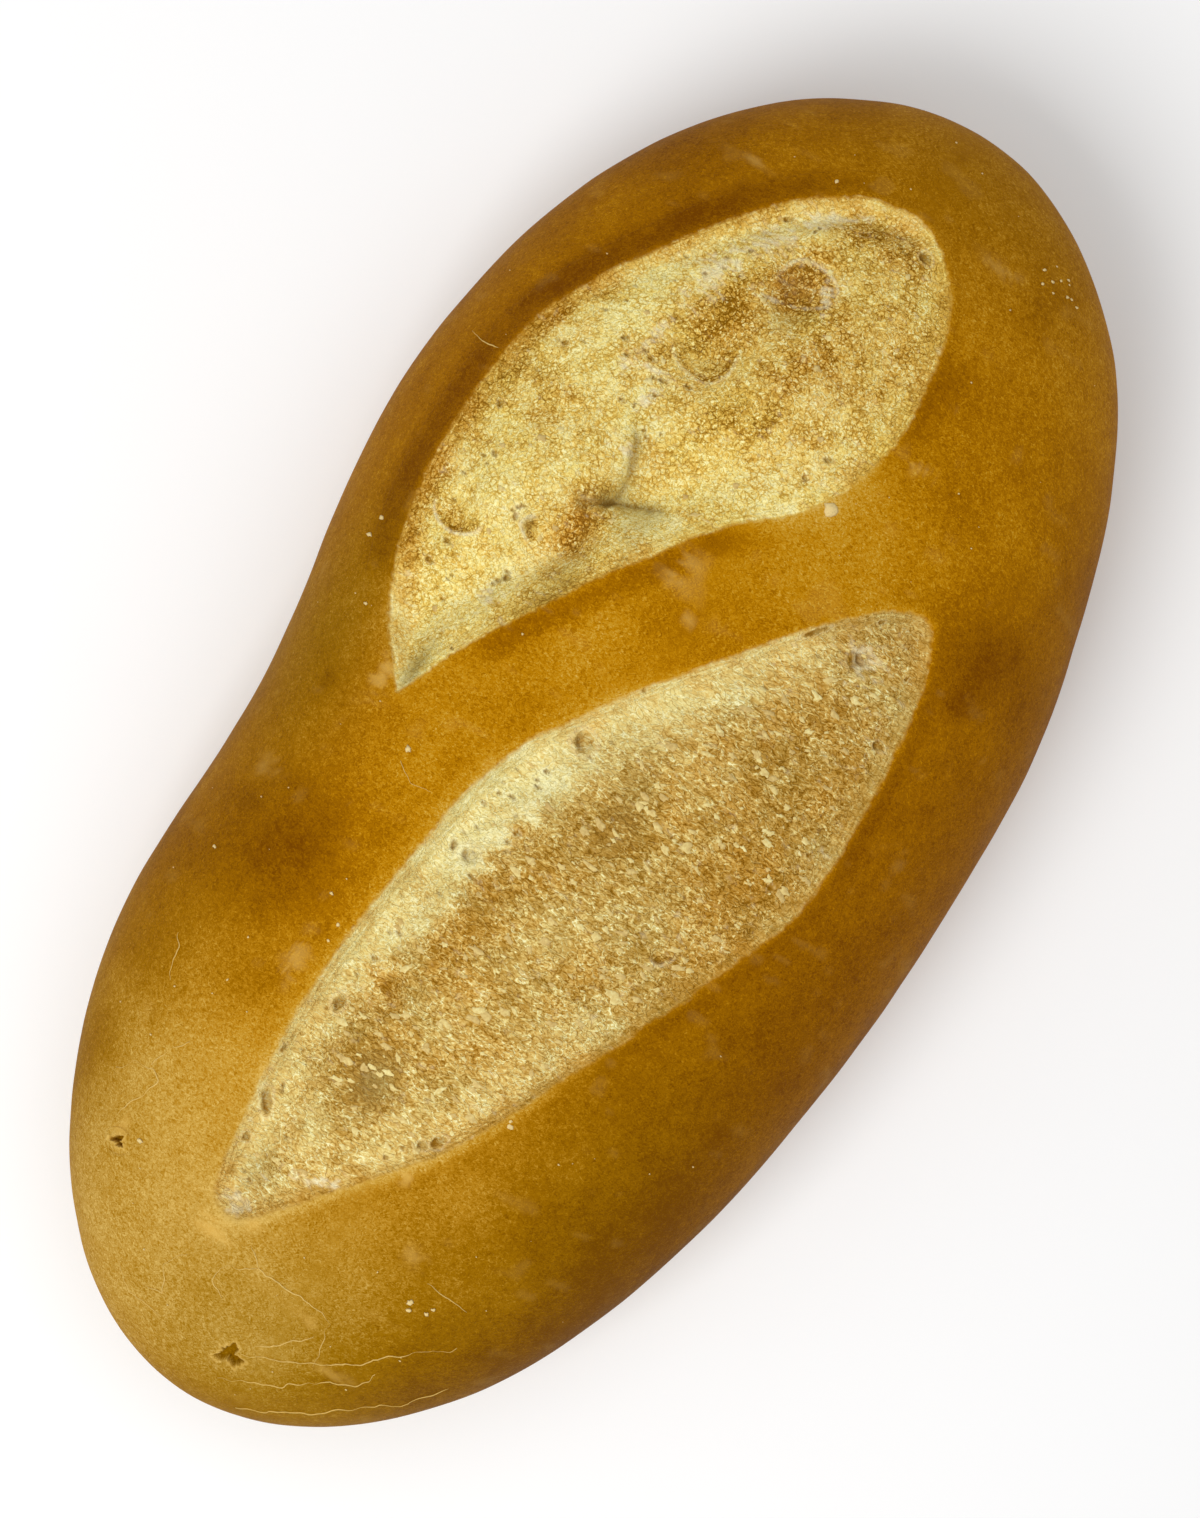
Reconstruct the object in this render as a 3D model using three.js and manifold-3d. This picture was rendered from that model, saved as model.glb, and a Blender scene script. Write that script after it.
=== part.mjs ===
// Italian bread loaf: a long oval loaf baked free on a flat base, with two long slashes that opened in
// the oven and show the torn crumb between their lips. Millimetres, +Z up, the length along X.
import * as THREE from "three";
import Module from "manifold-3d";

// The dough: the whole loaf as it would be without its slashes
const LENGTH = 300;
const HEIGHT = 80;
const BELLY_HEIGHT = 30; // where the loaf is widest
const HALF_WIDTH = 76.9; // from the midline to either side, before the waist and the shoulder
const PLAN_POWER = 1.88; // roundness of the outline: 2 is an ellipse, less is more pointed
const DOME_POWER = 2.2; // roundness of the dome: 2 is an ellipse, more is flatter on top
const BASE_SHARE = 0.8; // the flat base as a share of the outline
const MIDLINE = [2.75, -2.65, 1, -2.3]; // sideways bend of the loaf, by powers of the share of half length
const FULLNESS = [1, 0.046, 0.216]; // how the ends are fuller than the middle, by the same powers
const WAIST = { x: -15.4, spread: 49.6, depth: 10.3 }; // dip in the side towards +Y
const SHOULDER = { x: 49, spread: 29, depth: -1.5 }; // swelling of the side towards -Y

// The slashes: each opening lies between two lips that share their end points, in plan
const LONG_SLASH = {
  upperLip: [
    [-109.5, 20], [-108, 23.5], [-103, 25.5], [-85, 27], [-65.5, 27.5], [-37.5, 24.5],
    [-9, 18.5], [9.5, 7.5], [37.5, -15], [52, -29], [56, -35], [57, -38.5],
  ],
  lowerLip: [
    [-109.5, 20], [-107.5, 16], [-94, 4], [-75, -11.5], [-47.5, -26], [-19, -40],
    [0, -46.5], [19, -47], [38, -46], [47, -44.5], [55, -41.5], [57, -38.5],
  ],
  // Valleys follow a lip: how far from it, how wide, how deep, and over which stretch of the slash
  valleys: [
    { lip: "upper", away: 4, spread: 7, depth: 4, middle: 0.45, reach: 0.5 },
  ],
  // Swellings of the crumb, and hollows where the depth is negative
  swellings: [
    { x: -25, y: -10, long: 60, wide: 16, height: 2.5 },
    { x: -73, y: 8.5, long: 6, wide: 5, height: -2 },
    { x: -56, y: 14, long: 5, wide: 3, height: -1.5 },
    { x: -5, y: -8.5, long: 9, wide: 5, height: -1.5 },
  ],
};
const WIDE_SLASH = {
  upperLip: [
    [-5.5, 41.5], [4.5, 49.5], [19, 55.5], [38, 58.5], [67, 55.5],
    [86, 46.5], [105, 32.5], [115.5, 22.5], [122.5, 12.5], [124, 6], [124.5, 2],
  ],
  lowerLip: [
    [-5.5, 41.5], [14, 31], [33, 18], [51.5, 4], [65, -10.5],
    [80, -16.5], [95, -17], [110, -14], [120, -7.5], [123.5, -2], [124.5, 2],
  ],
  valleys: [
    { lip: "lower", away: 11, spread: 7, depth: 8, middle: 0.3, reach: 0.28 },
    { lip: "upper", away: 3.5, spread: 3, depth: 1.6, middle: 0.9, reach: 0.2 },
  ],
  swellings: [
    { x: 79, y: 7, long: 20, wide: 14, height: 2.5 },
    { x: 32, y: 42, long: 18, wide: 7, height: 2.5 },
    { x: 41, y: 19, long: 7, wide: 5, height: 3 },
    { x: 42, y: 25, long: 5, wide: 4, height: 2.5 },
    { x: 49.5, y: 22, long: 3, wide: 6, height: -3 },
    { x: 81, y: 22, long: 8, wide: 7, height: -3 },
    { x: 98, y: 14, long: 8, wide: 6, height: -3.5 },
    { x: 28, y: 49, long: 5, wide: 4, height: -1.5 },
  ],
};
const LIP_STEP = { depth: 1.5, spread: 4 }; // the crumb starts this far below a lip and rises over the spread
const OPENING_DEPTH = 15; // each opening is cleared this far below the dough before the crumb fills it
const OPENING_LID = 30;
const CRUMB_ROOT = 18; // the crumb is rooted deeper than the opening
const CRUMB_TUCK = 0.8; // and runs this far under the lips

// Fineness of the faceted surfaces
const STEPS_AROUND = 112;
const DOME_RINGS = 15;
const HEEL_RINGS = 7;
const STEPS_ALONG_SLASH = 48;
const STEPS_ACROSS_SLASH = 20;

// Plan of the dough

function polynomial(factors, value) {
  return factors.reduce((sum, factor, power) => sum + factor * value ** power, 0);
}

function bell(distance, spread) {
  return Math.exp(-((distance / spread) ** 2));
}

function midline(x) {
  return polynomial(MIDLINE, x / (LENGTH / 2));
}

function halfWidth(x, towardsPlusY) {
  const dip = towardsPlusY ? WAIST : SHOULDER;
  return HALF_WIDTH * polynomial(FULLNESS, x / (LENGTH / 2)) - dip.depth * bell(x - dip.x, dip.spread);
}

// A circle's cosine or sine bent to the roundness of the outline
function rounded(wave) {
  return Math.sign(wave) * Math.abs(wave) ** (2 / PLAN_POWER);
}

// The point at a share of the way from the midline out to the outline, at a bearing in plan
function planPoint(share, bearing) {
  const x = (LENGTH / 2) * share * rounded(Math.cos(bearing));
  const y = midline(x) + share * halfWidth(x, Math.sin(bearing) > 0) * rounded(Math.sin(bearing));
  return [x, y];
}

// The share of the way out to the outline at which a plan point lies
function planShare(x, y) {
  const along = Math.abs(x) / (LENGTH / 2);
  const across = Math.abs(y - midline(x)) / halfWidth(x, y > midline(x));
  return (along ** PLAN_POWER + across ** PLAN_POWER) ** (1 / PLAN_POWER);
}

function domeHeight(x, y) {
  const share = Math.min(planShare(x, y), 1);
  return BELLY_HEIGHT + (HEIGHT - BELLY_HEIGHT) * (1 - share ** DOME_POWER) ** (1 / DOME_POWER);
}

// The point at a height above the dome, square to it
function overDome(x, y, height) {
  const reach = 0.5;
  const slopeX = (domeHeight(x + reach, y) - domeHeight(x - reach, y)) / (2 * reach);
  const slopeY = (domeHeight(x, y + reach) - domeHeight(x, y - reach)) / (2 * reach);
  const outward = new THREE.Vector3(-slopeX, -slopeY, 1).normalize();
  return new THREE.Vector3(x, y, domeHeight(x, y)).addScaledVector(outward, height);
}

// Solids lofted through closed loops of points

// Joins each loop to the next and closes both ends with a fan about the middle of the end loop
function loft(kit, loops) {
  const count = loops[0].length;
  const points = loops.flat();
  const triangles = [];
  for (let row = 0; row + 1 < loops.length; row += 1) {
    for (let step = 0; step < count; step += 1) {
      const here = row * count + step;
      const beside = row * count + ((step + 1) % count);
      triangles.push(here, here + count, beside, beside, here + count, beside + count);
    }
  }
  for (const [row, facing] of [[0, 1], [loops.length - 1, -1]]) {
    const middle = points.length;
    const sum = loops[row].reduce((total, point) => total.add(point), new THREE.Vector3());
    points.push(sum.divideScalar(count));
    for (let step = 0; step < count; step += 1) {
      const here = row * count + step;
      const beside = row * count + ((step + 1) % count);
      triangles.push(...(facing > 0 ? [middle, here, beside] : [middle, beside, here]));
    }
  }
  const mesh = new kit.Mesh({
    numProp: 3,
    vertProperties: new Float32Array(points.flatMap((point) => point.toArray())),
    triVerts: new Uint32Array(triangles),
  });
  return new kit.Manifold(mesh);
}

// Rings from the top of the dome out to the belly, then under it to the edge of the flat base
function dough(kit) {
  const rings = [];
  for (let ring = 1; ring <= DOME_RINGS; ring += 1) {
    const turn = (ring / DOME_RINGS) * (Math.PI / 2);
    const share = Math.sin(turn) ** (2 / DOME_POWER);
    rings.push([share, BELLY_HEIGHT + (HEIGHT - BELLY_HEIGHT) * Math.cos(turn) ** (2 / DOME_POWER)]);
  }
  for (let ring = 1; ring <= HEEL_RINGS; ring += 1) {
    const turn = (ring / HEEL_RINGS) * (Math.PI / 2);
    const share = BASE_SHARE + (1 - BASE_SHARE) * Math.cos(turn);
    rings.push([share, BELLY_HEIGHT * (1 - Math.sin(turn))]);
  }
  const loops = rings.map(([share, height]) => {
    const loop = [];
    for (let step = 0; step < STEPS_AROUND; step += 1) {
      const [x, y] = planPoint(share, (step / STEPS_AROUND) * 2 * Math.PI);
      loop.push(new THREE.Vector3(x, y, height));
    }
    return loop;
  });
  return loft(kit, loops);
}

// The slashes

function lipCurve(points) {
  return new THREE.CatmullRomCurve3(points.map(([x, y]) => new THREE.Vector3(x, y, 0)), false, "catmullrom");
}

// Height of the crumb over the dome at a point of the slash, some way along it and some way from each lip
function crumbHeight(slash, along, fromLower, fromUpper, x, y) {
  let height = -LIP_STEP.depth * (bell(fromLower, LIP_STEP.spread) + bell(fromUpper, LIP_STEP.spread));
  for (const valley of slash.valleys) {
    const fromLip = valley.lip === "upper" ? fromUpper : fromLower;
    height -= valley.depth * bell(fromLip - valley.away, valley.spread) * bell(along - valley.middle, valley.reach);
  }
  for (const swelling of slash.swellings) {
    height += swelling.height * bell(x - swelling.x, swelling.long) * bell(y - swelling.y, swelling.wide);
  }
  return height;
}

// A solid between the lips, from a floor under the dome up to a top surface, with its sides moved out
function slashSolid(kit, slash, ends, tuck, columns, floor, top) {
  const upper = lipCurve(slash.upperLip);
  const lower = lipCurve(slash.lowerLip);
  const loops = [];
  for (let row = 0; row <= STEPS_ALONG_SLASH; row += 1) {
    const along = ends + (1 - 2 * ends) * (row / STEPS_ALONG_SLASH);
    const from = lower.getPointAt(along);
    const across = upper.getPointAt(along).sub(from);
    const width = across.length();
    across.normalize();
    const loop = [];
    for (let column = 0; column <= columns; column += 1) {
      const fromLower = -tuck + (width + 2 * tuck) * (column / columns);
      const spot = from.clone().addScaledVector(across, fromLower);
      loop.push(overDome(spot.x, spot.y, top(along, fromLower, width - fromLower, spot.x, spot.y)));
    }
    for (const fromLower of [width + tuck, -tuck]) {
      const spot = from.clone().addScaledVector(across, fromLower);
      loop.push(overDome(spot.x, spot.y, -floor));
    }
    loops.push(loop);
  }
  return loft(kit, loops);
}

function opening(kit, slash) {
  return slashSolid(kit, slash, 0.008, 0, 1, OPENING_DEPTH, () => OPENING_LID);
}

function crumb(kit, slash) {
  const top = (...place) => crumbHeight(slash, ...place);
  return slashSolid(kit, slash, 0.004, CRUMB_TUCK, STEPS_ACROSS_SLASH, CRUMB_ROOT, top);
}

// The loaf

const kit = await Module();
kit.setup();
let loaf = dough(kit);
for (const slash of [LONG_SLASH, WIDE_SLASH]) {
  loaf = loaf.subtract(opening(kit, slash)).add(crumb(kit, slash));
}

const surface = loaf.getMesh();
const geometry = new THREE.BufferGeometry();
geometry.setAttribute("position", new THREE.BufferAttribute(new Float32Array(surface.vertProperties), 3));
geometry.setIndex(new THREE.BufferAttribute(new Uint32Array(surface.triVerts), 1));
geometry.computeBoundingBox();
const middle = geometry.boundingBox.getCenter(new THREE.Vector3());
geometry.translate(-middle.x, -middle.y, -geometry.boundingBox.min.z);
geometry.computeVertexNormals();

const mesh = new THREE.Mesh(geometry, new THREE.MeshStandardMaterial({ color: 0xc98a48, roughness: 0.6 }));
mesh.name = "loaf";
const part = new THREE.Group();
part.name = "italian_bread_loaf";
part.add(mesh);

export default part;
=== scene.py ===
"""Italian bread loaf: its baked crust, the torn crumb of its two slashes, hairline cracks and loose flakes.

Shapes are worked out in millimetres in the loaf's own frame and put into the meshes in metres.
"""
import math

import bpy
import numpy as np
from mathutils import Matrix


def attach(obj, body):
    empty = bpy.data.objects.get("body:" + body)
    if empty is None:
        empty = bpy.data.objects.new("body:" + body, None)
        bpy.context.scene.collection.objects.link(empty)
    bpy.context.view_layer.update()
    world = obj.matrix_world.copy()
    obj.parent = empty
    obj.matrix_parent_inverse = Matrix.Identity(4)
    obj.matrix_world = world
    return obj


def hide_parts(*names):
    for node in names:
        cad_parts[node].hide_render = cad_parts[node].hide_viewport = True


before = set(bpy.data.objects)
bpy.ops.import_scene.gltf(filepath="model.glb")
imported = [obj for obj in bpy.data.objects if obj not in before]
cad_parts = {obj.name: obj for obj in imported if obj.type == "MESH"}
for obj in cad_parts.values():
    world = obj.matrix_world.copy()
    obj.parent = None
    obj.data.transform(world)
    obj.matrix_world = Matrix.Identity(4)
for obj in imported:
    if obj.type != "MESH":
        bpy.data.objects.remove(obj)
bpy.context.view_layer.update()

METRES = 0.001  # in a millimetre

# The dough: the whole loaf as it would be without its slashes
LENGTH = 300.0
HEIGHT = 80.0
BELLY_HEIGHT = 30.0
HALF_WIDTH = 76.9
PLAN_POWER = 1.88
DOME_POWER = 2.2
BASE_SHARE = 0.8
MIDLINE = (2.75, -2.65, 1.0, -2.3)
FULLNESS = (1.0, 0.046, 0.216)
WAIST = dict(x=-15.4, spread=49.6, depth=10.3)
SHOULDER = dict(x=49.0, spread=29.0, depth=-1.5)

# The slashes: lips in plan, valleys that follow a lip, and swellings or hollows of the crumb
LONG_SLASH = dict(
    upper_lip=(
        (-109.5, 20), (-108, 23.5), (-103, 25.5), (-85, 27), (-65.5, 27.5), (-37.5, 24.5),
        (-9, 18.5), (9.5, 7.5), (37.5, -15), (52, -29), (56, -35), (57, -38.5),
    ),
    lower_lip=(
        (-109.5, 20), (-107.5, 16), (-94, 4), (-75, -11.5), (-47.5, -26), (-19, -40),
        (0, -46.5), (19, -47), (38, -46), (47, -44.5), (55, -41.5), (57, -38.5),
    ),
    lip_steps=dict(upper=0.5, lower=0.4),
    valleys=(
        dict(lip="upper", away=4, spread=7, depth=4, middle=0.45, reach=0.5),
    ),
    swellings=(
        dict(x=-25, y=-10, long=60, wide=16, height=2.5),
        dict(x=-73, y=8.5, long=6, wide=5, height=-2),
        dict(x=-56, y=14, long=5, wide=3, height=-1.5),
        dict(x=-5, y=-8.5, long=9, wide=5, height=-1.5),
    ),
)
WIDE_SLASH = dict(
    upper_lip=(
        (-5.5, 41.5), (4.5, 49.5), (19, 55.5), (38, 58.5), (67, 55.5),
        (86, 46.5), (105, 32.5), (115.5, 22.5), (122.5, 12.5), (124, 6), (124.5, 2),
    ),
    lower_lip=(
        (-5.5, 41.5), (14, 31), (33, 18), (51.5, 4), (65, -10.5),
        (80, -16.5), (95, -17), (110, -14), (120, -7.5), (123.5, -2), (124.5, 2),
    ),
    lip_steps=dict(upper=0.3, lower=0.3),
    valleys=(
        dict(lip="lower", away=11, spread=7, depth=8, middle=0.3, reach=0.28),
        dict(lip="upper", away=3.5, spread=3, depth=1.6, middle=0.9, reach=0.2),
    ),
    swellings=(
        dict(x=79, y=7, long=20, wide=14, height=2.5),
        dict(x=32, y=42, long=18, wide=7, height=2.5),
        dict(x=41, y=19, long=7, wide=5, height=3),
        dict(x=42, y=25, long=5, wide=4, height=2.5),
        dict(x=49.5, y=22, long=3, wide=6, height=-3),
        dict(x=81, y=22, long=8, wide=7, height=-3),
        dict(x=98, y=14, long=8, wide=6, height=-3.5),
        dict(x=28, y=49, long=5, wide=4, height=-1.5),
    ),
)
LIP_SPREAD = 4.0  # the crumb starts a step below each lip and rises over this spread

# How the crumb browned, from 0, cream, to 1, dark brown: in bands along a lip and in patches
LONG_SLASH["toast"] = 0.56
LONG_SLASH["toast_bands"] = (
    dict(lip="upper", from_lip=(-5, 8), soft=2.6, along=(0.04, 0.27), amount=-0.24),
    dict(lip="upper", from_lip=(-5, 11), soft=2.4, along=(0.27, 0.43), amount=-0.29),
    dict(lip="upper", from_lip=(-5, 11.5), soft=2.4, along=(0.43, 0.6), amount=-0.42),
    dict(lip="upper", from_lip=(-5, 9.5), soft=4, along=(0.6, 0.9), amount=-0.3),
    dict(lip="upper", from_lip=(14, 20), soft=4, along=(0.12, 0.72), amount=0.1),
    dict(lip="lower", from_lip=(1, 10), soft=4, along=(0.08, 0.5), amount=-0.14),
    dict(lip="lower", from_lip=(-5, 2), soft=1.5, along=(0.05, 0.6), amount=0.14),
)
LONG_SLASH["toast_patches"] = (
    dict(x=14, y=-32, long=26, wide=9, amount=0.16),
    dict(x=-84, y=-4, long=5, wide=5, amount=-0.14),
    dict(x=-104, y=21, long=5, wide=3, amount=-0.2),
    dict(x=-70, y=10, long=7, wide=6, amount=0.18),
    dict(x=-58, y=15.5, long=9, wide=4, amount=0.18),
    dict(x=-93, y=17.5, long=4, wide=3, amount=0.1),
    dict(x=-86, y=13, long=6, wide=4.5, amount=-0.22),
    dict(x=-5, y=-37, long=24, wide=5, amount=0.13),
    dict(x=-19, y=-3, long=5, wide=4, amount=0.1),
    dict(x=-46, y=14.5, long=4, wide=3, amount=-0.14),
    dict(x=-81, y=16.5, long=4, wide=3, amount=-0.14),
    dict(x=-50, y=7, long=5, wide=4, amount=-0.12),
    dict(x=-28, y=1, long=5, wide=4, amount=-0.1),
    dict(x=-40, y=-7, long=14, wide=8, amount=-0.08),
    dict(x=-11, y=4, long=7, wide=4, amount=-0.17),
    dict(x=7, y=-8, long=7, wide=4, amount=-0.16),
    dict(x=9, y=-15, long=6, wide=5, amount=-0.12),
    dict(x=34, y=-20, long=6, wide=4, amount=0.14),
    dict(x=-4, y=-10, long=11, wide=6, amount=0.16),
    dict(x=-40, y=6, long=16, wide=4, amount=0.08),
    dict(x=46, y=-38, long=9, wide=6, amount=-0.1),
)
WIDE_SLASH["toast"] = 0.135
WIDE_SLASH["toast_bands"] = (
    dict(lip="upper", from_lip=(-5, 3.5), soft=2.5, along=(0.12, 0.62), amount=0.36),
    dict(lip="upper", from_lip=(-5, 1.5), soft=2, along=(0.62, 0.97), amount=0.24),
    dict(lip="lower", from_lip=(-5, 5), soft=2.5, along=(0.08, 0.4), amount=0.12),
    # Partly painted shade: darker toast right along the strap's lip, where the wall falls into shade
    dict(lip="lower", from_lip=(-5, 2), soft=2, along=(0.2, 0.5), amount=0.17),
    dict(lip="lower", from_lip=(-5, 2.5), soft=2, along=(0.65, 0.97), amount=0.22),
)
WIDE_SLASH["toast_patches"] = (
    dict(x=61, y=46, long=9, wide=6, amount=0.18),
    dict(x=55, y=33, long=6, wide=6, amount=0.1),
    dict(x=54, y=20, long=5, wide=6, amount=0.14),
    dict(x=46, y=17.5, long=5, wide=3, amount=-0.18),
    dict(x=69, y=39, long=5, wide=5, amount=-0.08),
    dict(x=36, y=49, long=3, wide=3, amount=0.12),
    dict(x=41, y=28, long=7.5, wide=4, amount=0.55),
    dict(x=74, y=12, long=10, wide=8, amount=0.22),
    dict(x=78.5, y=11.3, long=4, wide=4, amount=-0.16),
    dict(x=90, y=-11, long=9, wide=4, amount=0.12),
    dict(x=80, y=31, long=8, wide=5, amount=0.12),
    dict(x=85, y=7, long=13, wide=10, amount=0.1),
    dict(x=108, y=14.5, long=3, wide=4, amount=0.12),
    dict(x=24, y=53, long=8, wide=3, amount=0.14),
    dict(x=89, y=23, long=9.5, wide=5.5, amount=0.44),
    dict(x=100.5, y=15.5, long=4.5, wide=5.5, amount=0.58),
    dict(x=94, y=1, long=16, wide=10, amount=0.2),
    dict(x=105, y=-9, long=10, wide=6, amount=0.08),
    dict(x=109, y=-11.5, long=7, wide=3.5, amount=0.14),
    dict(x=116, y=2, long=6, wide=12, amount=0.26),
    dict(x=117.5, y=9, long=4, wide=4, amount=0.14),
    dict(x=29, y=49.5, long=2.5, wide=4, amount=0.18),
    dict(x=50, y=25, long=10, wide=9, amount=-0.07),
)
# Painted shade: greyer colour in the deeper hollows and on the strap wall, where shade falls, and a greyer
# tone in a few other places
LONG_SLASH["shades"] = (
    dict(x=-72, y=8.5, long=6, wide=4.5, amount=0.66),
    dict(x=-4.5, y=-8, long=9, wide=4, amount=0.3),
    dict(x=-100, y=19, long=7, wide=4, amount=0.3),
    dict(x=52, y=-36, long=6, wide=5, amount=0.12),
)
WIDE_SLASH["shades"] = (
    dict(x=101, y=15, long=3.5, wide=4, amount=0.3),
    dict(x=27, y=26, long=13, wide=4, amount=0.2),
    dict(x=50, y=25, long=10, wide=9, amount=0.13),
    dict(x=38, y=16.5, long=6, wide=2, amount=0.25),
    dict(x=0, y=41, long=6, wide=2.2, amount=0.7),
    dict(x=34.7, y=36.6, long=1.5, wide=0.9, amount=0.4),
    dict(x=21, y=37, long=3, wide=1.6, amount=0.2),
)

# How warm the crumb's colour is, from 0 to 1, and how much warmer it is still along the upper lip
LONG_SLASH.update(warm=0.25, lip_warmth=0.0)
WIDE_SLASH.update(warm=0.2, lip_warmth=0.35)
# How far the crumb's grains are drawn out across the loaf, the size of its cells, and how much browner
# their walls are than their middles
LONG_SLASH.update(drawn=1.9, cell=0.75, wall_toast=-0.2)
WIDE_SLASH.update(drawn=1.15, cell=1.1, wall_toast=0.4)
# How strongly the grain shows in the crumb's colour, and how much of it is mottling of a millimetre or two
LONG_SLASH.update(grain=1.0, mottling=0.6)
WIDE_SLASH.update(grain=1.4, mottling=0.42)

# Holes torn in the crumb: place, half length, half width, and the bearing of the length
LONG_SLASH["pores"] = (
    (-86.8, 24.6, 2.4, 1.0, 25), (-94.7, 24.6, 1.0, 0.6, 20), (-75.5, 26.6, 0.9, 0.35, 0),
    (-82.5, 23.5, 0.7, 0.4, 20), (-62.7, 22.2, 1.7, 1.2, 0), (-77.8, -5.7, 0.8, 1.1, 20),
    (-75.7, -8.1, 1.5, 1.0, -20), (-83.3, -1, 0.4, 0.6, 0), (-80, -2.8, 0.5, 0.4, 0),
    (-94.7, 4.5, 0.4, 0.4, 0), (-52, 20.5, 0.5, 0.9, 10), (-45.5, 18.5, 0.4, 0.8, 10),
    (-25.8, 14.3, 1.6, 2.1, -15), (-25.5, 18, 1.1, 0.8, 30), (3.8, 5.9, 2.1, 2.0, 0),
    (-28.9, 11.4, 0.35, 1.0, -10), (-17.4, 8.3, 0.5, 0.8, 0), (-19.7, 8.9, 0.35, 0.7, 0),
    (-21.4, 8.3, 0.35, 0.7, 0), (-7.9, 9.2, 0.35, 1.1, 0), (-6.8, 10.1, 0.3, 0.5, 0),
    (-4.5, 9.2, 0.45, 0.8, 0), (-12.1, 12.7, 0.45, 0.9, -10), (-12.6, 15.5, 0.3, 0.7, 0),
    (-15.7, 17.2, 0.3, 0.5, 20), (-22.5, 17.6, 0.3, 0.6, 0), (18, 1, 0.5, 0.4, 0),
    (43.9, -32.4, 1.15, 1.25, 0), (31.2, -43, 0.75, 1.05, 0), (28.5, -42, 0.35, 0.35, 0),
    (6.5, -42, 0.6, 0.5, 0), (43.8, -21.7, 2.5, 0.5, -40), (52, -32, 0.7, 0.4, -50),
    (-2.5, -38.5, 0.7, 0.5, 0), (-102, 20, 0.5, 0.5, 0), (45, -41.5, 0.5, 0.4, 0),
)
WIDE_SLASH["pores"] = (
    (21.5, 37.8, 0.35, 0.55, 0), (22.6, 37.4, 0.45, 0.7, 10), (24, 36.2, 0.7, 0.9, 10),
    (25, 36.7, 0.45, 0.8, 0), (34.6, 38.9, 0.7, 0.5, 0), (35.3, 39.5, 0.4, 0.5, 0),
    (36.3, 39, 0.4, 0.5, 0), (37, 38.3, 0.35, 0.6, 20), (6.7, 36.5, 0.35, 0.5, 0),
    (19.3, 49.9, 0.45, 0.9, -10), (24.1, 48.3, 0.45, 1.1, -10), (17.9, 45.6, 0.3, 0.4, 0),
    (18.9, 45.4, 0.3, 0.4, 0), (43, 47.8, 0.4, 0.8, -30), (40.6, 48.2, 0.25, 0.5, 0),
    (52.2, 52.1, 0.7, 0.6, 0), (68.4, 47.3, 0.5, 0.8, 0), (64.2, 29.5, 0.5, 0.4, 20),
    (63.8, 32.1, 0.4, 0.75, 0), (74.6, 33.2, 0.4, 0.7, 20), (73.8, 31.5, 0.4, 0.9, 0),
    (74.8, 37.8, 0.55, 0.85, 0), (72.1, 35.7, 0.4, 0.7, -20), (71, 27.2, 0.45, 0.9, 0),
    (70.7, 29, 0.35, 0.6, 0), (72.2, 22.5, 0.4, 0.75, 0), (59.9, 24.7, 0.45, 0.4, 30),
    (60.9, 25.6, 0.4, 0.4, 0), (61.7, 22.5, 0.35, 0.4, 0), (67.7, 27.2, 0.4, 0.5, 0),
    (118, -4.6, 1.4, 1.0, 55), (116, 8, 0.9, 0.4, 110), (112, 22.7, 1.2, 0.4, 120),
    (112, 16.6, 0.5, 0.4, 0), (113, 16.2, 0.4, 0.4, 0), (102, 25.5, 0.4, 0.6, 20),
    (93.8, 30.9, 0.6, 0.4, 70), (98.6, 28.7, 0.5, 0.3, 90), (68.2, -5.5, 0.45, 0.6, -20),
    (73.4, -7.6, 0.6, 0.9, 15),
)
# Burst blisters: place, radius, the bearing of the side where a thin rim is left, how pale that rim is,
# and depth
LONG_SLASH["blisters"] = ((43.9, -32.4, 3.0, 90, 0.2, 0.4), (-23.5, -26.7, 2.3, 215, 0.5, 0.5))
WIDE_SLASH["blisters"] = (
    (30.8, 48.8, 5.3, 185, 1.0, 0.5), (81.5, 23.5, 7.0, 195, 0.5, 0.3), (99.5, 12.9, 6.6, 0, 0.8, 0.5),
    (34.6, 35.2, 2.5, 95, 1.0, 0.8),
)
# Thin pale skin stretched over the crumb: place, half length, half width, and the bearing of the length
LONG_SLASH["membranes"] = (
    (-107, 19.5, 3.5, 2, 90), (-93.8, 7.5, 5, 1.2, -63), (-99.7, 17.4, 1.4, 0.5, 80),
    (43.9, -32.4, 3.2, 3.2, 0),
)
WIDE_SLASH["membranes"] = (
    (72, 31, 0.9, 6, 0), (56.4, 26.6, 1.5, 1.4, 0), (19.4, 36.6, 3, 2.2, -10), (36, 39.2, 2.2, 1.3, -30),
    (96, 29, 7, 3.2, -22), (106, 23, 6, 3.4, -42), (116, 15, 6, 2.2, -52), (66, 28.5, 3.5, 2, -20),
    (96.8, 15, 4.5, 0.5, 103), (100.5, 8, 4.5, 1.4, 20), (78, 33, 4, 1.5, -10), (70.5, 35, 2.5, 2, 0),
)
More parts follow.
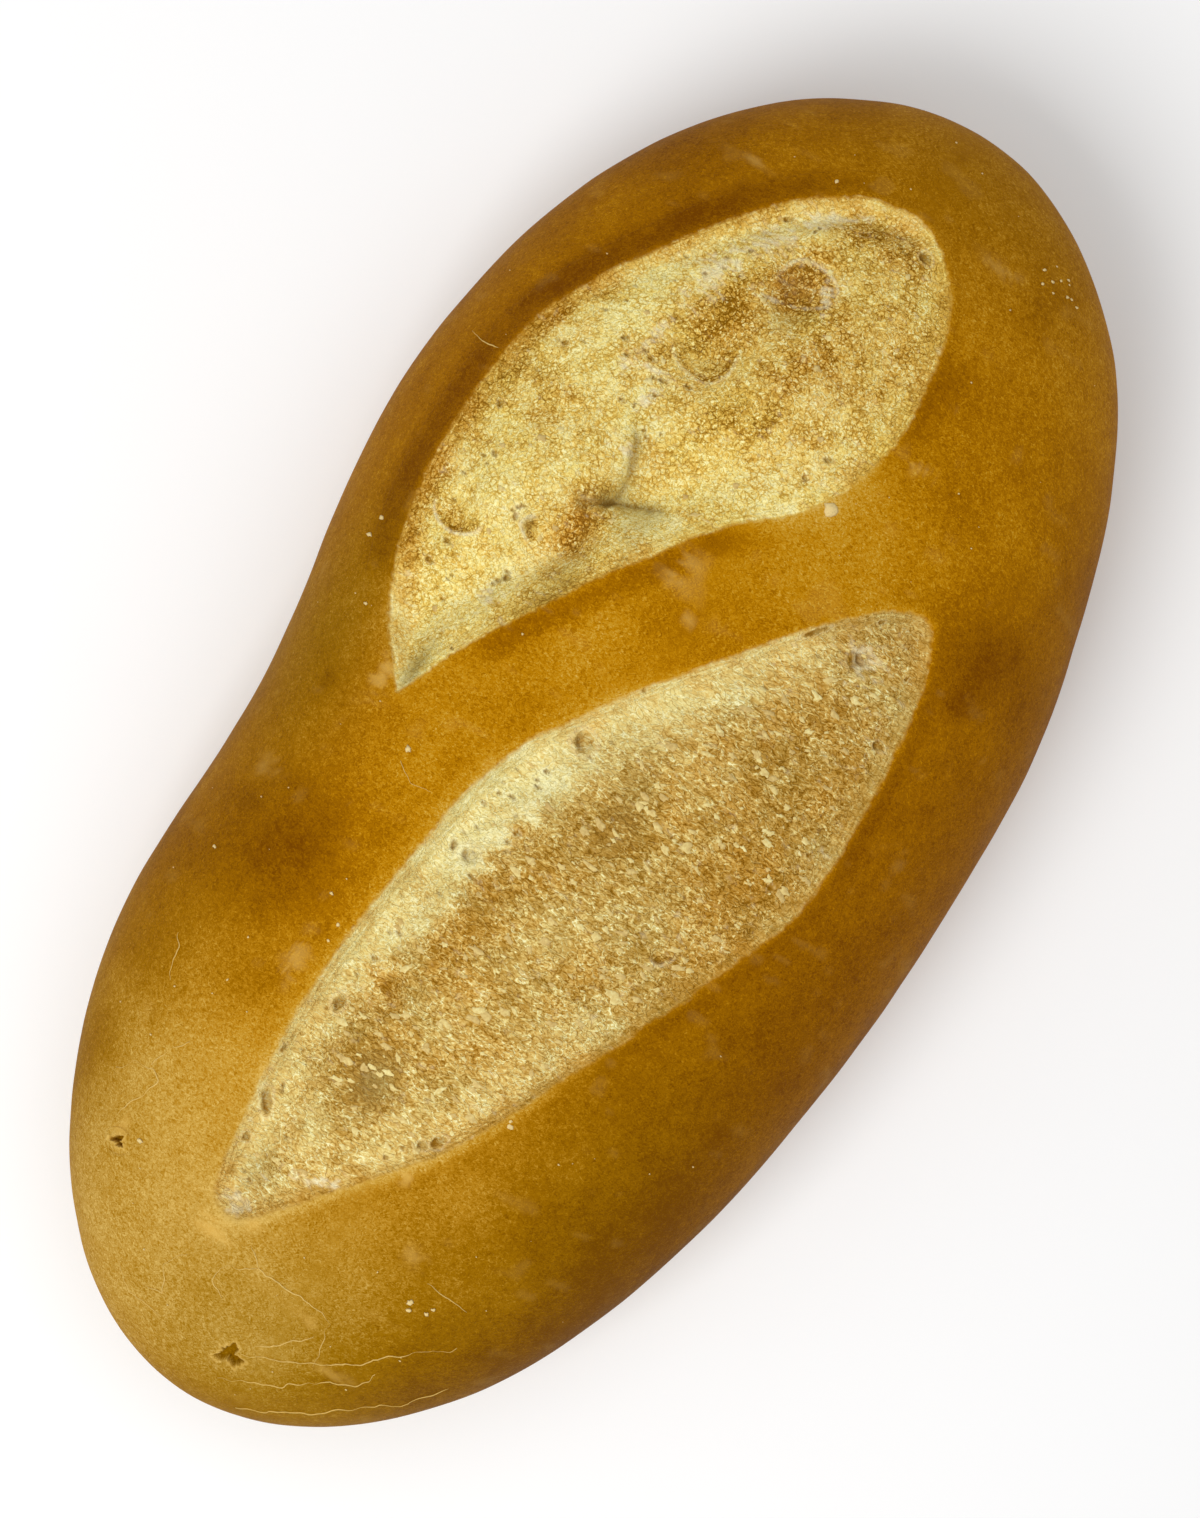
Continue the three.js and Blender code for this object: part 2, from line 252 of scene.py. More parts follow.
# Larger flakes of crumb torn loose: place, half length, half width, and the bearing of the length
LONG_SLASH["torn_flakes"] = (
    (-35.1, -23.2, 2.2, 1.4, 75), (-26.8, -14.2, 1.1, 1.0, 40), (-15.7, -6.6, 2.2, 0.5, 85),
    (-10.7, -16, 1.3, 0.5, 70), (-3.7, -20.3, 1.5, 1.3, 100), (-1.4, -11.7, 1.5, 0.7, 95),
    (-35.2, -0.3, 1.1, 0.8, 60), (-35, -4.7, 1.1, 0.7, 30), (-39.3, -5.5, 0.9, 0.4, 90),
    (-26.2, -3.4, 0.7, 0.4, 90), (-70.8, 11.1, 1.1, 1.0, 30), (-50, -4, 1.4, 0.8, 90),
    (-78.4, 8.9, 0.9, 0.8, 90), (-81.8, 6.5, 1.1, 0.8, 90), (-75.4, -0.3, 1.3, 0.7, 80),
    (-60.7, 2.9, 1.0, 0.9, 60), (-57.7, 9.3, 1.1, 0.8, 90),
)
WIDE_SLASH["torn_flakes"] = (
    (60.5, 5.3, 0.8, 0.6, 90), (69.8, 1.5, 0.8, 0.6, 0), (67.9, 0, 0.7, 0.6, 30), (51.9, 9.2, 1.6, 0.5, 125),
    (21.5, 33.6, 0.6, 0.3, 0), (23.4, 33.1, 0.8, 0.55, 20),
)
# How many smaller flakes are strewn over the box round each slash; those off the crumb are dropped
LONG_SLASH["flakes"] = 1100
WIDE_SLASH["flakes"] = 260
# The smaller flakes' least half width, and how much wider the widest is; and how toasted flakes are
CRUMB_FLAKE_WIDTH = (0.22, 0.55)
CRUMB_FLAKE_TOAST = (0.22, 0.5)
# Creases where the crumb folded on itself
LONG_SLASH["creases"] = ()
WIDE_SLASH["creases"] = (
    ((46, 26), (48, 25), (52.5, 24.5), (57.5, 25.5), (60, 27)),
    ((43.5, 30), (45.5, 27), (47.5, 23.5), (49, 20), (50, 16)),
)

# How the crust browned, from 0, pale gold, to 1, dark brown: in patches, and in bands beside a lip
BAKE = 0.55
BAKE_PATCHES = (
    dict(x=-132, y=30, long=40, wide=28, amount=-0.18),
    dict(x=-85, y=44, long=24, wide=16, amount=-0.16),
    dict(x=-95, y=-50, long=28, wide=12, amount=0.16),
    dict(x=-110, y=-42, long=10, wide=6, amount=0.12),
    dict(x=-73, y=57, long=8, wide=5, amount=0.1),
    dict(x=118, y=-28, long=10, wide=6, amount=0.12),
    dict(x=138, y=22, long=8, wide=8, amount=0.14),
    dict(x=-147, y=2, long=8, wide=22, amount=0.15),
    dict(x=-62, y=66, long=16, wide=5, amount=0.15),
    dict(x=112, y=44, long=25, wide=12, amount=0.2),
    dict(x=-69, y=40, long=8, wide=6, amount=0.14),
    dict(x=-97, y=60, long=8, wide=5, amount=0.14),
    dict(x=97, y=-21, long=9, wide=3, amount=0.14),
    dict(x=-60, y=-52, long=70, wide=26, amount=0.31),
    dict(x=40, y=-66, long=70, wide=20, amount=0.22),
    dict(x=138, y=0, long=22, wide=45, amount=0.08),
    dict(x=72, y=64, long=60, wide=12, amount=0.14),
    dict(x=-108, y=19, long=7, wide=9, amount=-0.14),
    dict(x=-22, y=51, long=5, wide=4, amount=-0.1),
    dict(x=44, y=69.5, long=10, wide=4, amount=0.12),
    dict(x=-42, y=42, long=14, wide=9, amount=0.26),
    dict(x=-40, y=56, long=42, wide=14, amount=0.24),
    dict(x=55, y=-54, long=9, wide=9, amount=0.2),
    dict(x=-14, y=30, long=20, wide=9, amount=-0.04),
    dict(x=23, y=14, long=20, wide=10, amount=-0.06),
    dict(x=58, y=-20, long=18, wide=12, amount=-0.1),
    dict(x=-9.5, y=54.5, long=3, wide=2, amount=0.14),
    dict(x=-39, y=57.5, long=3, wide=2.5, amount=0.12),
    dict(x=45, y=-53, long=3.5, wide=3, amount=0.14),
    dict(x=-122, y=-26, long=22, wide=14, amount=0.24),
    dict(x=-68, y=-50, long=34, wide=14, amount=0.05),
    dict(x=-134, y=-10, long=8, wide=8, amount=0.09),
)
LONG_SLASH["bake_bands"] = (
    dict(lip="lower", from_lip=(0.5, 4), soft=1.5, along=(0.4, 0.95), amount=0.08),
    dict(lip="lower", from_lip=(-2, 1.5), soft=1.5, along=(-0.05, 0.36), amount=-0.2),
    dict(lip="upper", from_lip=(-2, 3), soft=2, along=(0.1, 0.75), amount=-0.1),
)
WIDE_SLASH["bake_bands"] = (
    # Partly painted shadow: the dark band just outside the upper lip is darker browning and also stands for
    # shade where the crumb bulges over the crust
    dict(lip="upper", from_lip=(-1, 6), soft=2.5, along=(0.1, 0.96), amount=0.26),
    dict(lip="lower", from_lip=(-1, 5), soft=2.5, along=(0.12, 0.5), amount=0.24),
    dict(lip="lower", from_lip=(-2, 4), soft=2, along=(0.53, 0.7), amount=-0.16),
    dict(lip="lower", from_lip=(-1, 2.5), soft=2, along=(0.74, 0.95), amount=0.14),
)
# Where the crust is more olive than orange
OLIVE_PATCHES = (
    dict(x=-135, y=0, long=45, wide=60, amount=0.9),
    dict(x=-95, y=60, long=45, wide=22, amount=0.5),
    dict(x=140, y=-10, long=25, wide=40, amount=0.3),
    dict(x=-2, y=60, long=30, wide=12, amount=0.7),
    dict(x=-72, y=-44, long=42, wide=26, amount=0.5),
)
# Pale scuffs on the crust
SCUFFS = (
    dict(x=38.5, y=5.5, long=1.6, wide=4.5, amount=0.7),
    dict(x=42.5, y=5.5, long=3, wide=4.5, amount=0.6),
    dict(x=34, y=0, long=1.2, wide=2.5, amount=0.7),
    dict(x=25.5, y=14, long=1.5, wide=1.8, amount=0.5),
    dict(x=15, y=-60, long=2, wide=5, amount=0.25),
    dict(x=33, y=-58, long=2.5, wide=4, amount=0.25),
    dict(x=81, y=-23, long=1.6, wide=4, amount=0.6),
    dict(x=-113.5, y=21.5, long=3, wide=5, amount=1.0),
    dict(x=-4, y=45.5, long=5, wide=2.5, amount=0.9),
    dict(x=-60, y=33, long=7, wide=2.5, amount=0.7),
    dict(x=-106, y=46.5, long=3, wide=1.5, amount=0.9),
    dict(x=-84.5, y=-6.2, long=3, wide=2, amount=0.9),
    dict(x=-108, y=14.5, long=2, wide=2, amount=0.7),
    dict(x=-98, y=-15.5, long=2, wide=4, amount=0.6),
    dict(x=-31, y=57, long=3, wide=3, amount=0.5),
    dict(x=124, y=-18, long=1.6, wide=6, amount=0.5),
    dict(x=119, y=34, long=1.4, wide=5, amount=0.6),
    dict(x=-120, y=-4, long=1.6, wide=3.5, amount=0.6),
    dict(x=-128, y=-13, long=1.4, wide=5, amount=0.5),
)

# Hairline cracks of the crust, in plan
CRACKS = (
    ((-108, 16), (-112, 13), (-115, 9.5), (-116, 3), (-117.5, -7.5), (-122.5, -8.5), (-128, -9)),
    ((-115, 9.5), (-117, 12.5), (-119.5, 16.5), (-122.5, 16.5), (-124.5, 12.5)),
    ((-133, 4), (-131, -2), (-127, -10.5), (-123, -17.5), (-119, -21), (-114.5, -27), (-111, -31.5)),
    ((-132.5, 4), (-128.5, 0.5), (-124.5, -4), (-122, -6)),
    ((-141, 6), (-136.5, -2), (-134, -7.5), (-129.5, -13.5), (-127.5, -19.5), (-123.5, -20.5)),
    ((-101.5, -20), (-102, -24.5), (-103.5, -29.5)),
    ((-106, 49.5), (-101.5, 47.5), (-98.5, 45.5), (-94.5, 45), (-92.5, 46.5), (-94, 51), (-96.5, 53)),
    ((-92.5, 48), (-88.5, 46), (-84.5, 43)),
    ((-76.5, 52.5), (-71.5, 53.5), (-67, 55.5)),
    ((-131.5, 29), (-131, 24), (-125, 26), (-120.5, 23)),
    ((-18.5, 26), (-19.5, 30), (-16.5, 34)),
    ((61.5, 56), (61.5, 59.5), (62.5, 65)),
    ((-145, 0), (-140, -11.5), (-132.5, -21.5), (-127, -29.5), (-120, -35)),
    ((-135.5, 21.5), (-135, 29), (-130, 35)),
)
CRACK_WIDTH = 0.28
# A crack's section: places across, in half widths, and heights over the crust
CRACK_SECTION = ((-1, 0.09), (0, -0.4), (1, 0.09), (0, 0.18))
# How a crack's line is jagged: how far it is shifted, and over what size
CRACK_JAGS = ((0.6, 2.5), (0.22, 1.1))
# Swells and dimples of the crust: height and size
CRUST_SWELLS = ((0.5, 34), (0.22, 15), (0.09, 7))
# Small holes broken through the crust: place and radius
PUNCTURES = ((-134.5, 6, 2.0), (-109, 46, 1.1))
PUNCTURE_REACH = 2.6  # how far out its surface goes, in its radius
PUNCTURE_DEPTH = 1.6
PUNCTURE_ROOT = 4.0  # how much deeper its last ring is rooted
# Loose flakes of flour and dried dough on the crust: place and radius
FLAKES = (
    (-106.5, 42, 0.6), (-106.4, -18.9, 0.7), (-108, -19.5, 0.6), (-107.1, -22.9, 0.5),
    (-105.7, -23.6, 0.5), (-66.5, -18.5, 0.7), (-65.5, -18, 0.5), (65.3, -12.4, 1.7),
    (123, 18, 0.45), (18, 62, 0.6), (22, 61.5, 0.5), (6, 55.5, 0.4), (-53, 29, 0.4),
    (-49.5, 29, 0.4), (-45, 33, 0.5), (-14, 34, 0.8), (-49.5, 58, 0.4), (129.2, -25.9, 0.36),
    (126.4, -26.9, 0.34), (128, -28.5, 0.42), (126, -29.6, 0.3), (129.4, -29.9, 0.3),
    (131.6, -27.8, 0.22), (130.6, -31.2, 0.34), (129.8, -31.8, 0.24), (127.2, -32.6, 0.36),
    (127.4, -33.6, 0.3), (126.6, -35.3, 0.36),
)
# And how many more are scattered at random, with their least and greatest radius
SCATTERED_FLAKES = 130
SCATTERED_RADII = (0.08, 0.26)
# Sections of flakes: each ring's share of the way to the edge, and its height. A loose flake's heights are
# in its radius, and a crumb flake's are over the crumb
FLAKE_SECTION = ((0.15, 0.32), (0.7, 0.25), (1.0, -0.1))
CRUMB_FLAKE_SECTION = ((0.2, 0.11), (0.8, 0.1), (1.0, -0.06))

# Fineness of the surfaces
CRUST_STEPS = 600
DOME_RINGS = 128
HEEL_RINGS = 22
BASE_RINGS = 11
PUNCTURE_STEPS = 72
PUNCTURE_RINGS = 30
FLAKE_STEPS = 10
CRUMB_FLAKE_STEPS = 12
LINE_STEP = 0.5  # between the points of a lip, a crease or a crack
PLACES_AT_ONCE = 8000  # whose way to a line is found in one go
LONG_SLASH.update(rows=560, columns=172)
WIDE_SLASH.update(rows=470, columns=205)
COLLAR = 7.0  # each slash's surface runs this far out over the crust
ROOT = 20.0  # and is rooted this far under it
HOLLOW = 22.0  # the crust's own surface dips this far under a slash

# The view
FRAME_HEIGHT = 307.8  # what the picture's height spans at the belly
CAMERA_RISE = 700.0  # above the belly
CAMERA_OVER = (2.6, 1.65)
CAMERA_TURN = -60.0
SENSOR_WIDTH = 36.0
VIEW_END = 20.0  # how far the camera sees, in metres
FLOOR_REACH = 3000.0  # from its middle to each side
FLOOR_SQUARES = 4  # along each side
FLOOR_DROP = 0.3  # under the base
# The lights, in metres and watts, the height they are aimed at, and the even light from all round
KEY_LIGHT = dict(place=(-0.6, 0.15, 0.9), size=0.6, power=6.6)
FILL_LIGHT = dict(place=(0.4, -0.2, 1.2), size=1.2, power=3.0)
AIM_HEIGHT = 0.04
STUDIO_LIGHT = 0.53


# Numbers on arrays

def bell(distance, spread):
    """A bell curve: 1 at no distance, 0.37 at the spread, then fading to nothing."""
    return np.exp(-((distance / spread) ** 2))


def ease(low, high, value):
    """Rises smoothly from 0 at low to 1 at high, or falls if low is above high."""
    share = np.clip((value - low) / (high - low), 0.0, 1.0)
    return share * share * (3.0 - 2.0 * share)


def polynomial(factors, value):
    """The sum of each factor times a power of the value, from the power 0 up."""
    return sum(factor * value**power for power, factor in enumerate(factors))


def scrambled(column, row, seed):
    """A repeatable random number from 0 to 1 for each square of a lattice: its place, mixed and folded."""
    mixed = column.astype(np.int64) * 374761393 + row.astype(np.int64) * 668265263 + seed * 974711
    mixed = mixed & 0xFFFFFFFF
    mixed = ((mixed ^ (mixed >> 13)) * 1274126177) & 0xFFFFFFFF
    return ((mixed ^ (mixed >> 16)) & 0xFFFFFF) / 0x1000000


def unevenness(x, y, size, seed, z=None):
    """Smooth noise from -1 to 1: a random number at each lattice corner, eased from corner to corner.

    With heights given, it is also eased from one lattice to the next of a stack of them.
    """
    if z is not None:
        layer = np.floor(z / size).astype(np.int64)
        share = ease(0, 1, z / size - layer)
        low, high = (unevenness(x, y, size, seed + 101 * (layer + step)) for step in (0, 1))
        return low * (1 - share) + high * share
    column, row = np.floor(x / size), np.floor(y / size)
    across, up = ease(0, 1, x / size - column), ease(0, 1, y / size - row)
    low = scrambled(column, row, seed) * (1 - across) + scrambled(column + 1, row, seed) * across
    high = scrambled(column, row + 1, seed) * (1 - across) + scrambled(column + 1, row + 1, seed) * across
    return 2 * (low * (1 - up) + high * up) - 1


def dots(x, y, size, seed):
    """A random dot in each square of a lattice: the way to the nearest dot, in squares, and its number."""
    column, row = np.floor(x / size), np.floor(y / size)
    nearest, number = np.full(x.shape, 9.0), np.zeros(x.shape)
    for across in (-1, 0, 1):
        for up in (-1, 0, 1):
            over_x = column + across + scrambled(column + across, row + up, seed) - x / size
            over_y = row + up + scrambled(column + across, row + up, seed + 1) - y / size
            way = np.hypot(over_x, over_y)
            number = np.where(way < nearest, scrambled(column + across, row + up, seed + 2), number)
            nearest = np.minimum(way, nearest)
    return nearest, number


def patches(x, y, places):
    """The sum of bell-shaped patches, each with its place, half length, half width and amount or height."""
    total = np.zeros(np.shape(x))
    for place in places:
        strength = place.get("amount", place.get("height"))
        total += strength * bell(x - place["x"], place["long"]) * bell(y - place["y"], place["wide"])
    return total


def full_turn(steps):
    """Bearings in even steps round a full turn."""
    return np.arange(steps) / steps * 2 * np.pi


# The dough's form

def midline(x):
    """The loaf's middle across, at a place along it: a polynomial of the place's share of half the length."""
    return polynomial(MIDLINE, x / (LENGTH / 2))


def half_width(x, towards_plus_y):
    """From the midline to a side: fuller at the ends, less the waist at +y, or plus the shoulder at -y."""
    full = HALF_WIDTH * polynomial(FULLNESS, x / (LENGTH / 2))
    waist = WAIST["depth"] * bell(x - WAIST["x"], WAIST["spread"])
    shoulder = SHOULDER["depth"] * bell(x - SHOULDER["x"], SHOULDER["spread"])
    return full - np.where(towards_plus_y, waist, shoulder)


def rounded(wave):
    """A cosine or sine bent to the outline's roundness: its size to the power 2 over the plan's power."""
    return np.sign(wave) * np.abs(wave) ** (2 / PLAN_POWER)


def plan_point(share, bearing):
    """The plan place at a share of the way from the midline to the outline, at a bearing."""
    x = LENGTH / 2 * share * rounded(np.cos(bearing))
    y = midline(x) + share * half_width(x, np.sin(bearing) > 0) * rounded(np.sin(bearing))
    return x, y


def dome_height(x, y):
    """Height of the smooth dome: a superellipse from the belly at the outline up to the top."""
    along = np.abs(x) / (LENGTH / 2)
    across = np.abs(y - midline(x)) / half_width(x, y > midline(x))
    share = np.minimum((along**PLAN_POWER + across**PLAN_POWER) ** (1 / PLAN_POWER), 1.0)
    return BELLY_HEIGHT + (HEIGHT - BELLY_HEIGHT) * (1 - share**DOME_POWER) ** (1 / DOME_POWER)


def over_dome(x, y, height):
    """The points at a height over the dome, square to it.

    The dome's slopes come from its heights half a millimetre each way.
    """
    reach = 0.5
    slope_x = (dome_height(x + reach, y) - dome_height(x - reach, y)) / (2 * reach)
    slope_y = (dome_height(x, y + reach) - dome_height(x, y - reach)) / (2 * reach)
    lift = height / np.sqrt(slope_x**2 + slope_y**2 + 1)
    return np.stack([x - slope_x * lift, y - slope_y * lift, dome_height(x, y) + lift], axis=-1)


def crust_unevenness(x, y, z=None):
    """Slight swells and dimples of the crust, in millimetres square to it: a sum of noises.

    Where no heights are given, they are the dome's.
    """
    z = dome_height(x, y) if z is None else z
    return sum(
        height * unevenness(x, y, size, seed, z) for seed, (height, size) in enumerate(CRUST_SWELLS, 11)
    )


OUTLINE_Y = plan_point(1.0, np.linspace(0, 2 * np.pi, 4001))[1]
CENTRE_Y = (OUTLINE_Y.max() + OUTLINE_Y.min()) / 2


# Lines in plan, and the lips of the slashes

def run_of(line):
    """How far along a line each of its points is: the sum of the stretches before it."""
    return np.concatenate([[0], np.cumsum(np.hypot(*np.diff(line, axis=0).T))])


def points_at(line, run, wanted):
    """A line's points at the wanted runs, straight between the points whose runs are given."""
    return np.stack([np.interp(wanted, run, line[:, 0]), np.interp(wanted, run, line[:, 1])], axis=-1)


def square_to(line):
    """A step of one to the left of a line at each of its points, square to its direction there."""
    along = np.gradient(line, axis=0)
    along /= np.linalg.norm(along, axis=1, keepdims=True)
    return np.stack([-along[:, 1], along[:, 0]], axis=-1)


def smooth_line(corners):
    """A curve through the corners, each stretch a cubic that leaves in the direction between its neighbours.

    The curve is then cut into even steps of its length.
    """
    corners = np.array(corners, float)
    framed = np.vstack([2 * corners[0] - corners[1], corners, 2 * corners[-1] - corners[-2]])
    before, start, end, after = (framed[i:len(framed) - 3 + i, None] for i in range(4))
    t = np.linspace(0, 1, 60)[None, :, None]
    fine = 0.5 * (
        2 * start
        + (end - before) * t
        + (2 * before - 5 * start + 4 * end - after) * t**2
        + (3 * start - before - 3 * end + after) * t**3
    )
    fine = fine.reshape(-1, 2)
    run = run_of(fine)
    return points_at(fine, run, np.linspace(0, run[-1], max(int(run[-1] / LINE_STEP), 2) + 1))


def evenly(line, count):
    """The line as count + 1 points at even steps."""
    return points_at(line, np.linspace(0, 1, len(line)), np.linspace(0, 1, count + 1))


def way_to_line(x, y, line):
    """Distance from each place to a line.

    The line's nearest point is found first, and then the way square onto the two stretches that meet there.
    """
    places = np.stack([np.ravel(x), np.ravel(y)], axis=-1)
    found = []
    for some in np.array_split(places, max(len(places) // PLACES_AT_ONCE, 1)):
        nearest = ((some[:, None] - line[None]) ** 2).sum(-1).argmin(1)
        ways = []
        for first in (np.maximum(nearest - 1, 0), np.minimum(nearest, len(line) - 2)):
            stretch = line[first + 1] - line[first]
            share = ((some - line[first]) * stretch).sum(-1) / (stretch**2).sum(-1)
            foot = line[first] + np.clip(share, 0, 1)[:, None] * stretch
            ways.append(np.hypot(*(some - foot).T))
        found.append(np.minimum(*ways))
    return np.concatenate(found).reshape(np.shape(x))


def within(x, y, loop):
    """Whether each place is inside a closed loop: a ray towards +X crosses it an odd number of times."""
    inside = np.zeros(np.shape(x), bool)
    for (x1, y1), (x2, y2) in zip(loop, np.roll(loop, -1, axis=0)):
        if y1 != y2:
            crossing = ((y1 > y) != (y2 > y)) & (x < (x2 - x1) * (y - y1) / (y2 - y1) + x1)
            inside ^= crossing
    return inside


def slash_place(slash, x, y):
    """Where places lie in a slash: how far inside its lips, from either lip, and along it from tip to tip."""
    upper, lower = smooth_line(slash["upper_lip"]), smooth_line(slash["lower_lip"])
    from_upper, from_lower = way_to_line(x, y, upper), way_to_line(x, y, lower)
    side = np.where(within(x, y, np.vstack([upper, lower[::-1]])), 1.0, -1.0)
    chord = upper[-1] - upper[0]
    along = ((x - upper[0, 0]) * chord[0] + (y - upper[0, 1]) * chord[1]) / (chord**2).sum()
    return dict(
        inside=side * np.minimum(from_upper, from_lower), upper=from_upper, lower=from_lower, along=along
    )


def plateau(low, high, soft, value):
    """1 between low and high, falling smoothly to 0 over a soft margin about each."""
    return ease(low - soft, low + soft, value) * ease(high + soft, high - soft, value)


def bands(place, stretches):
    """The sum of bands along lips, each flat between two distances from a lip and two shares of the slash."""
    total = np.zeros(np.shape(place["along"]))
    for band in stretches:
        across = plateau(*band["from_lip"], band["soft"], place[band["lip"]])
        total += band["amount"] * across * plateau(*band["along"], 0.05, place["along"])
    return total


# The crumb in the slashes

def oval_place(x, y, oval):
    """Places along and across a turned oval, in its half length and half width: its edge is 1 away."""
    middle_x, middle_y, long, wide, turn = oval
    cosine, sine = math.cos(math.radians(turn)), math.sin(math.radians(turn))
    along = ((x - middle_x) * cosine + (y - middle_y) * sine) / long
    across = ((y - middle_y) * cosine - (x - middle_x) * sine) / wide
    return along, across


def crumb_height(slash, place, x, y):
    """The crumb's form over the dome: a step down at each lip, valleys along lips, swellings and hollows."""
    height = patches(x, y, slash["swellings"])
    for valley in slash["valleys"]:
        across = bell(place[valley["lip"]] - valley["away"], valley["spread"])
        height -= valley["depth"] * across * bell(place["along"] - valley["middle"], valley["reach"])
    for lip, step in slash["lip_steps"].items():
        height -= step * bell(place[lip], LIP_SPREAD)
    return height


def torn_crumb(slash, place, x, y):
    """The crumb's fine relief, in millimetres, and its colour fields, from 0 to 1.

    The relief sums soft lumps, grains drawn out across the loaf, ridges along the lips where the skin tore,
    slits, pores, burst blisters with part of a raised rim, and creases. The fields are the toast, with a
    painted shadow just inside each blister's rim, how warm its colour is, the pale skin and rims, painted
    shade that greys the hollows and creases, and painted shade that darkens the holes, slits and creases.
    """
    seed = slash["rows"]
    stretch = slash["drawn"]
    tear = np.clip(place["inside"], 0, None)
    fringe = 2.2 * unevenness(x, y / 3, 2.6, seed) + 1.3 * unevenness(x, y / 3, 1.1, seed + 1)
    fringed = dict(place)
    for lip in ("upper", "lower"):
        fringed[lip] = place[lip] + fringe * ease(1, 7, tear)
    toasted = patches(x, y, slash["toast_patches"])
    toast = slash["toast"] + bands(fringed, slash["toast_bands"]) + toasted
    toast = toast + 0.06 * unevenness(x, y, 9, seed + 2) + 0.05 * unevenness(x, y / stretch, 2.6, seed + 3)
    warm = slash["warm"] + toasted + slash["lip_warmth"] * ease(5, 1, place["upper"])
    warm = warm + 0.25 * unevenness(x, y, 8, seed + 8) + 0.2 * unevenness(x, y, 3, seed + 17)
    relief = 0.25 * unevenness(x, y, 7, seed + 4) + 0.12 * unevenness(x, y / stretch, 2.2, seed + 5)

    way = dots(x, y / stretch, 1.1, seed + 6)[0]
    fine = unevenness(x, y / stretch, 0.8, seed + 7)
    relief += ease(0, 2.5, tear) * (0.08 * fine + 0.16 * (0.5 - way))
    ridge = np.sin(2 * np.pi * (tear + 0.6 * unevenness(x, y, 3, seed + 9)) / 1.1)
    relief += 0.03 * ridge * np.exp(-tear / 2.5)

    way, number = dots(x, y / 2.4, 2.6, seed + 24)
    slit = ease(0.14, 0.07, way) * ease(0.6, 0.7, number) * plateau(2.5, 11, 2, place["upper"])
    relief -= 0.3 * slit
    # Painted shade in the slits
    pit = 0.6 * slit
    pale = np.zeros(x.shape)
    for skin in slash["membranes"]:
        torn = bell(np.hypot(*oval_place(x, y, skin)), 1.1) + 0.3 * unevenness(x, y / 1.8, 1.2, seed + 10)
        torn = torn + 0.6 * unevenness(x, y / 2.2, 0.55, seed + 16)
        pale = np.maximum(pale, 0.75 * ease(0.35, 1.2, torn))

    for pore in slash["pores"]:
        pore_x, pore_y, _, wide, _ = pore
        way = np.hypot(*oval_place(x, y, pore)) + 0.25 * unevenness(x, y, 1.2 * wide, seed + 11)
        hole = ease(1.15, 0.8, way)
        # Painted shadow: each pore is darker, and dug deeper, on its upper-left side, towards the key light,
        # where its wall is in shade
        shadow_side = ease(-0.2, 0.9, (0.85 * (y - pore_y) - 0.5 * (x - pore_x)) / wide)
        open_shade = np.clip(0.7 - 0.2 * wide, 0.25, 0.55)
        relief -= min(wide, 1.5) * (0.25 + 0.5 * shadow_side) * hole
        pit = np.maximum(pit, (open_shade + (0.9 - open_shade) * shadow_side) * hole)
        pale = np.maximum(pale, 0.3 * bell(way - 1.35, 0.2))

    for blister_x, blister_y, radius, bearing, paleness, depth in slash["blisters"]:
        uneven = unevenness(x, y, 0.9 * radius, seed + 12)
        way = np.hypot(x - blister_x, y - blister_y) + 0.15 * radius * uneven
        turned = np.arctan2(y - blister_y, x - blister_x) - np.radians(bearing)
        side = ease(-0.1, 0.6, np.cos(turned) + 0.35 * unevenness(x, y, 2, seed + 13))
        rim = side * bell(way - radius, 0.3)
        relief += 0.2 * rim - depth * ease(radius, 0.5 * radius, way)
        pale = np.maximum(pale, paleness * rim * (0.85 + 0.25 * unevenness(x, y, 1.1, seed + 14)))
        # Painted shadow: darker toast just inside the rim, where the rim shades the hollow
        toast = toast + 0.3 * side * bell(way - radius + 0.9, 0.5)

    shade = patches(x, y, slash["shades"])
    for corners in slash["creases"]:
        way = way_to_line(x, y, smooth_line(corners)) + 0.3 * unevenness(x, y, 1.5, seed + 15)
        # Painted shade along each crease: darker in its line and greyer a little way round it
        relief -= 0.8 * bell(way, 0.6)
        pit = np.maximum(pit, 0.45 * bell(way, 0.45))
        shade = shade + 0.3 * bell(way, 1.8)

    fields = dict(toast=toast, warm=warm, pale=pale, shade=shade, pit=pit)
    return relief, {name: np.clip(values, 0, 1) for name, values in fields.items()}


# How brown the crust is

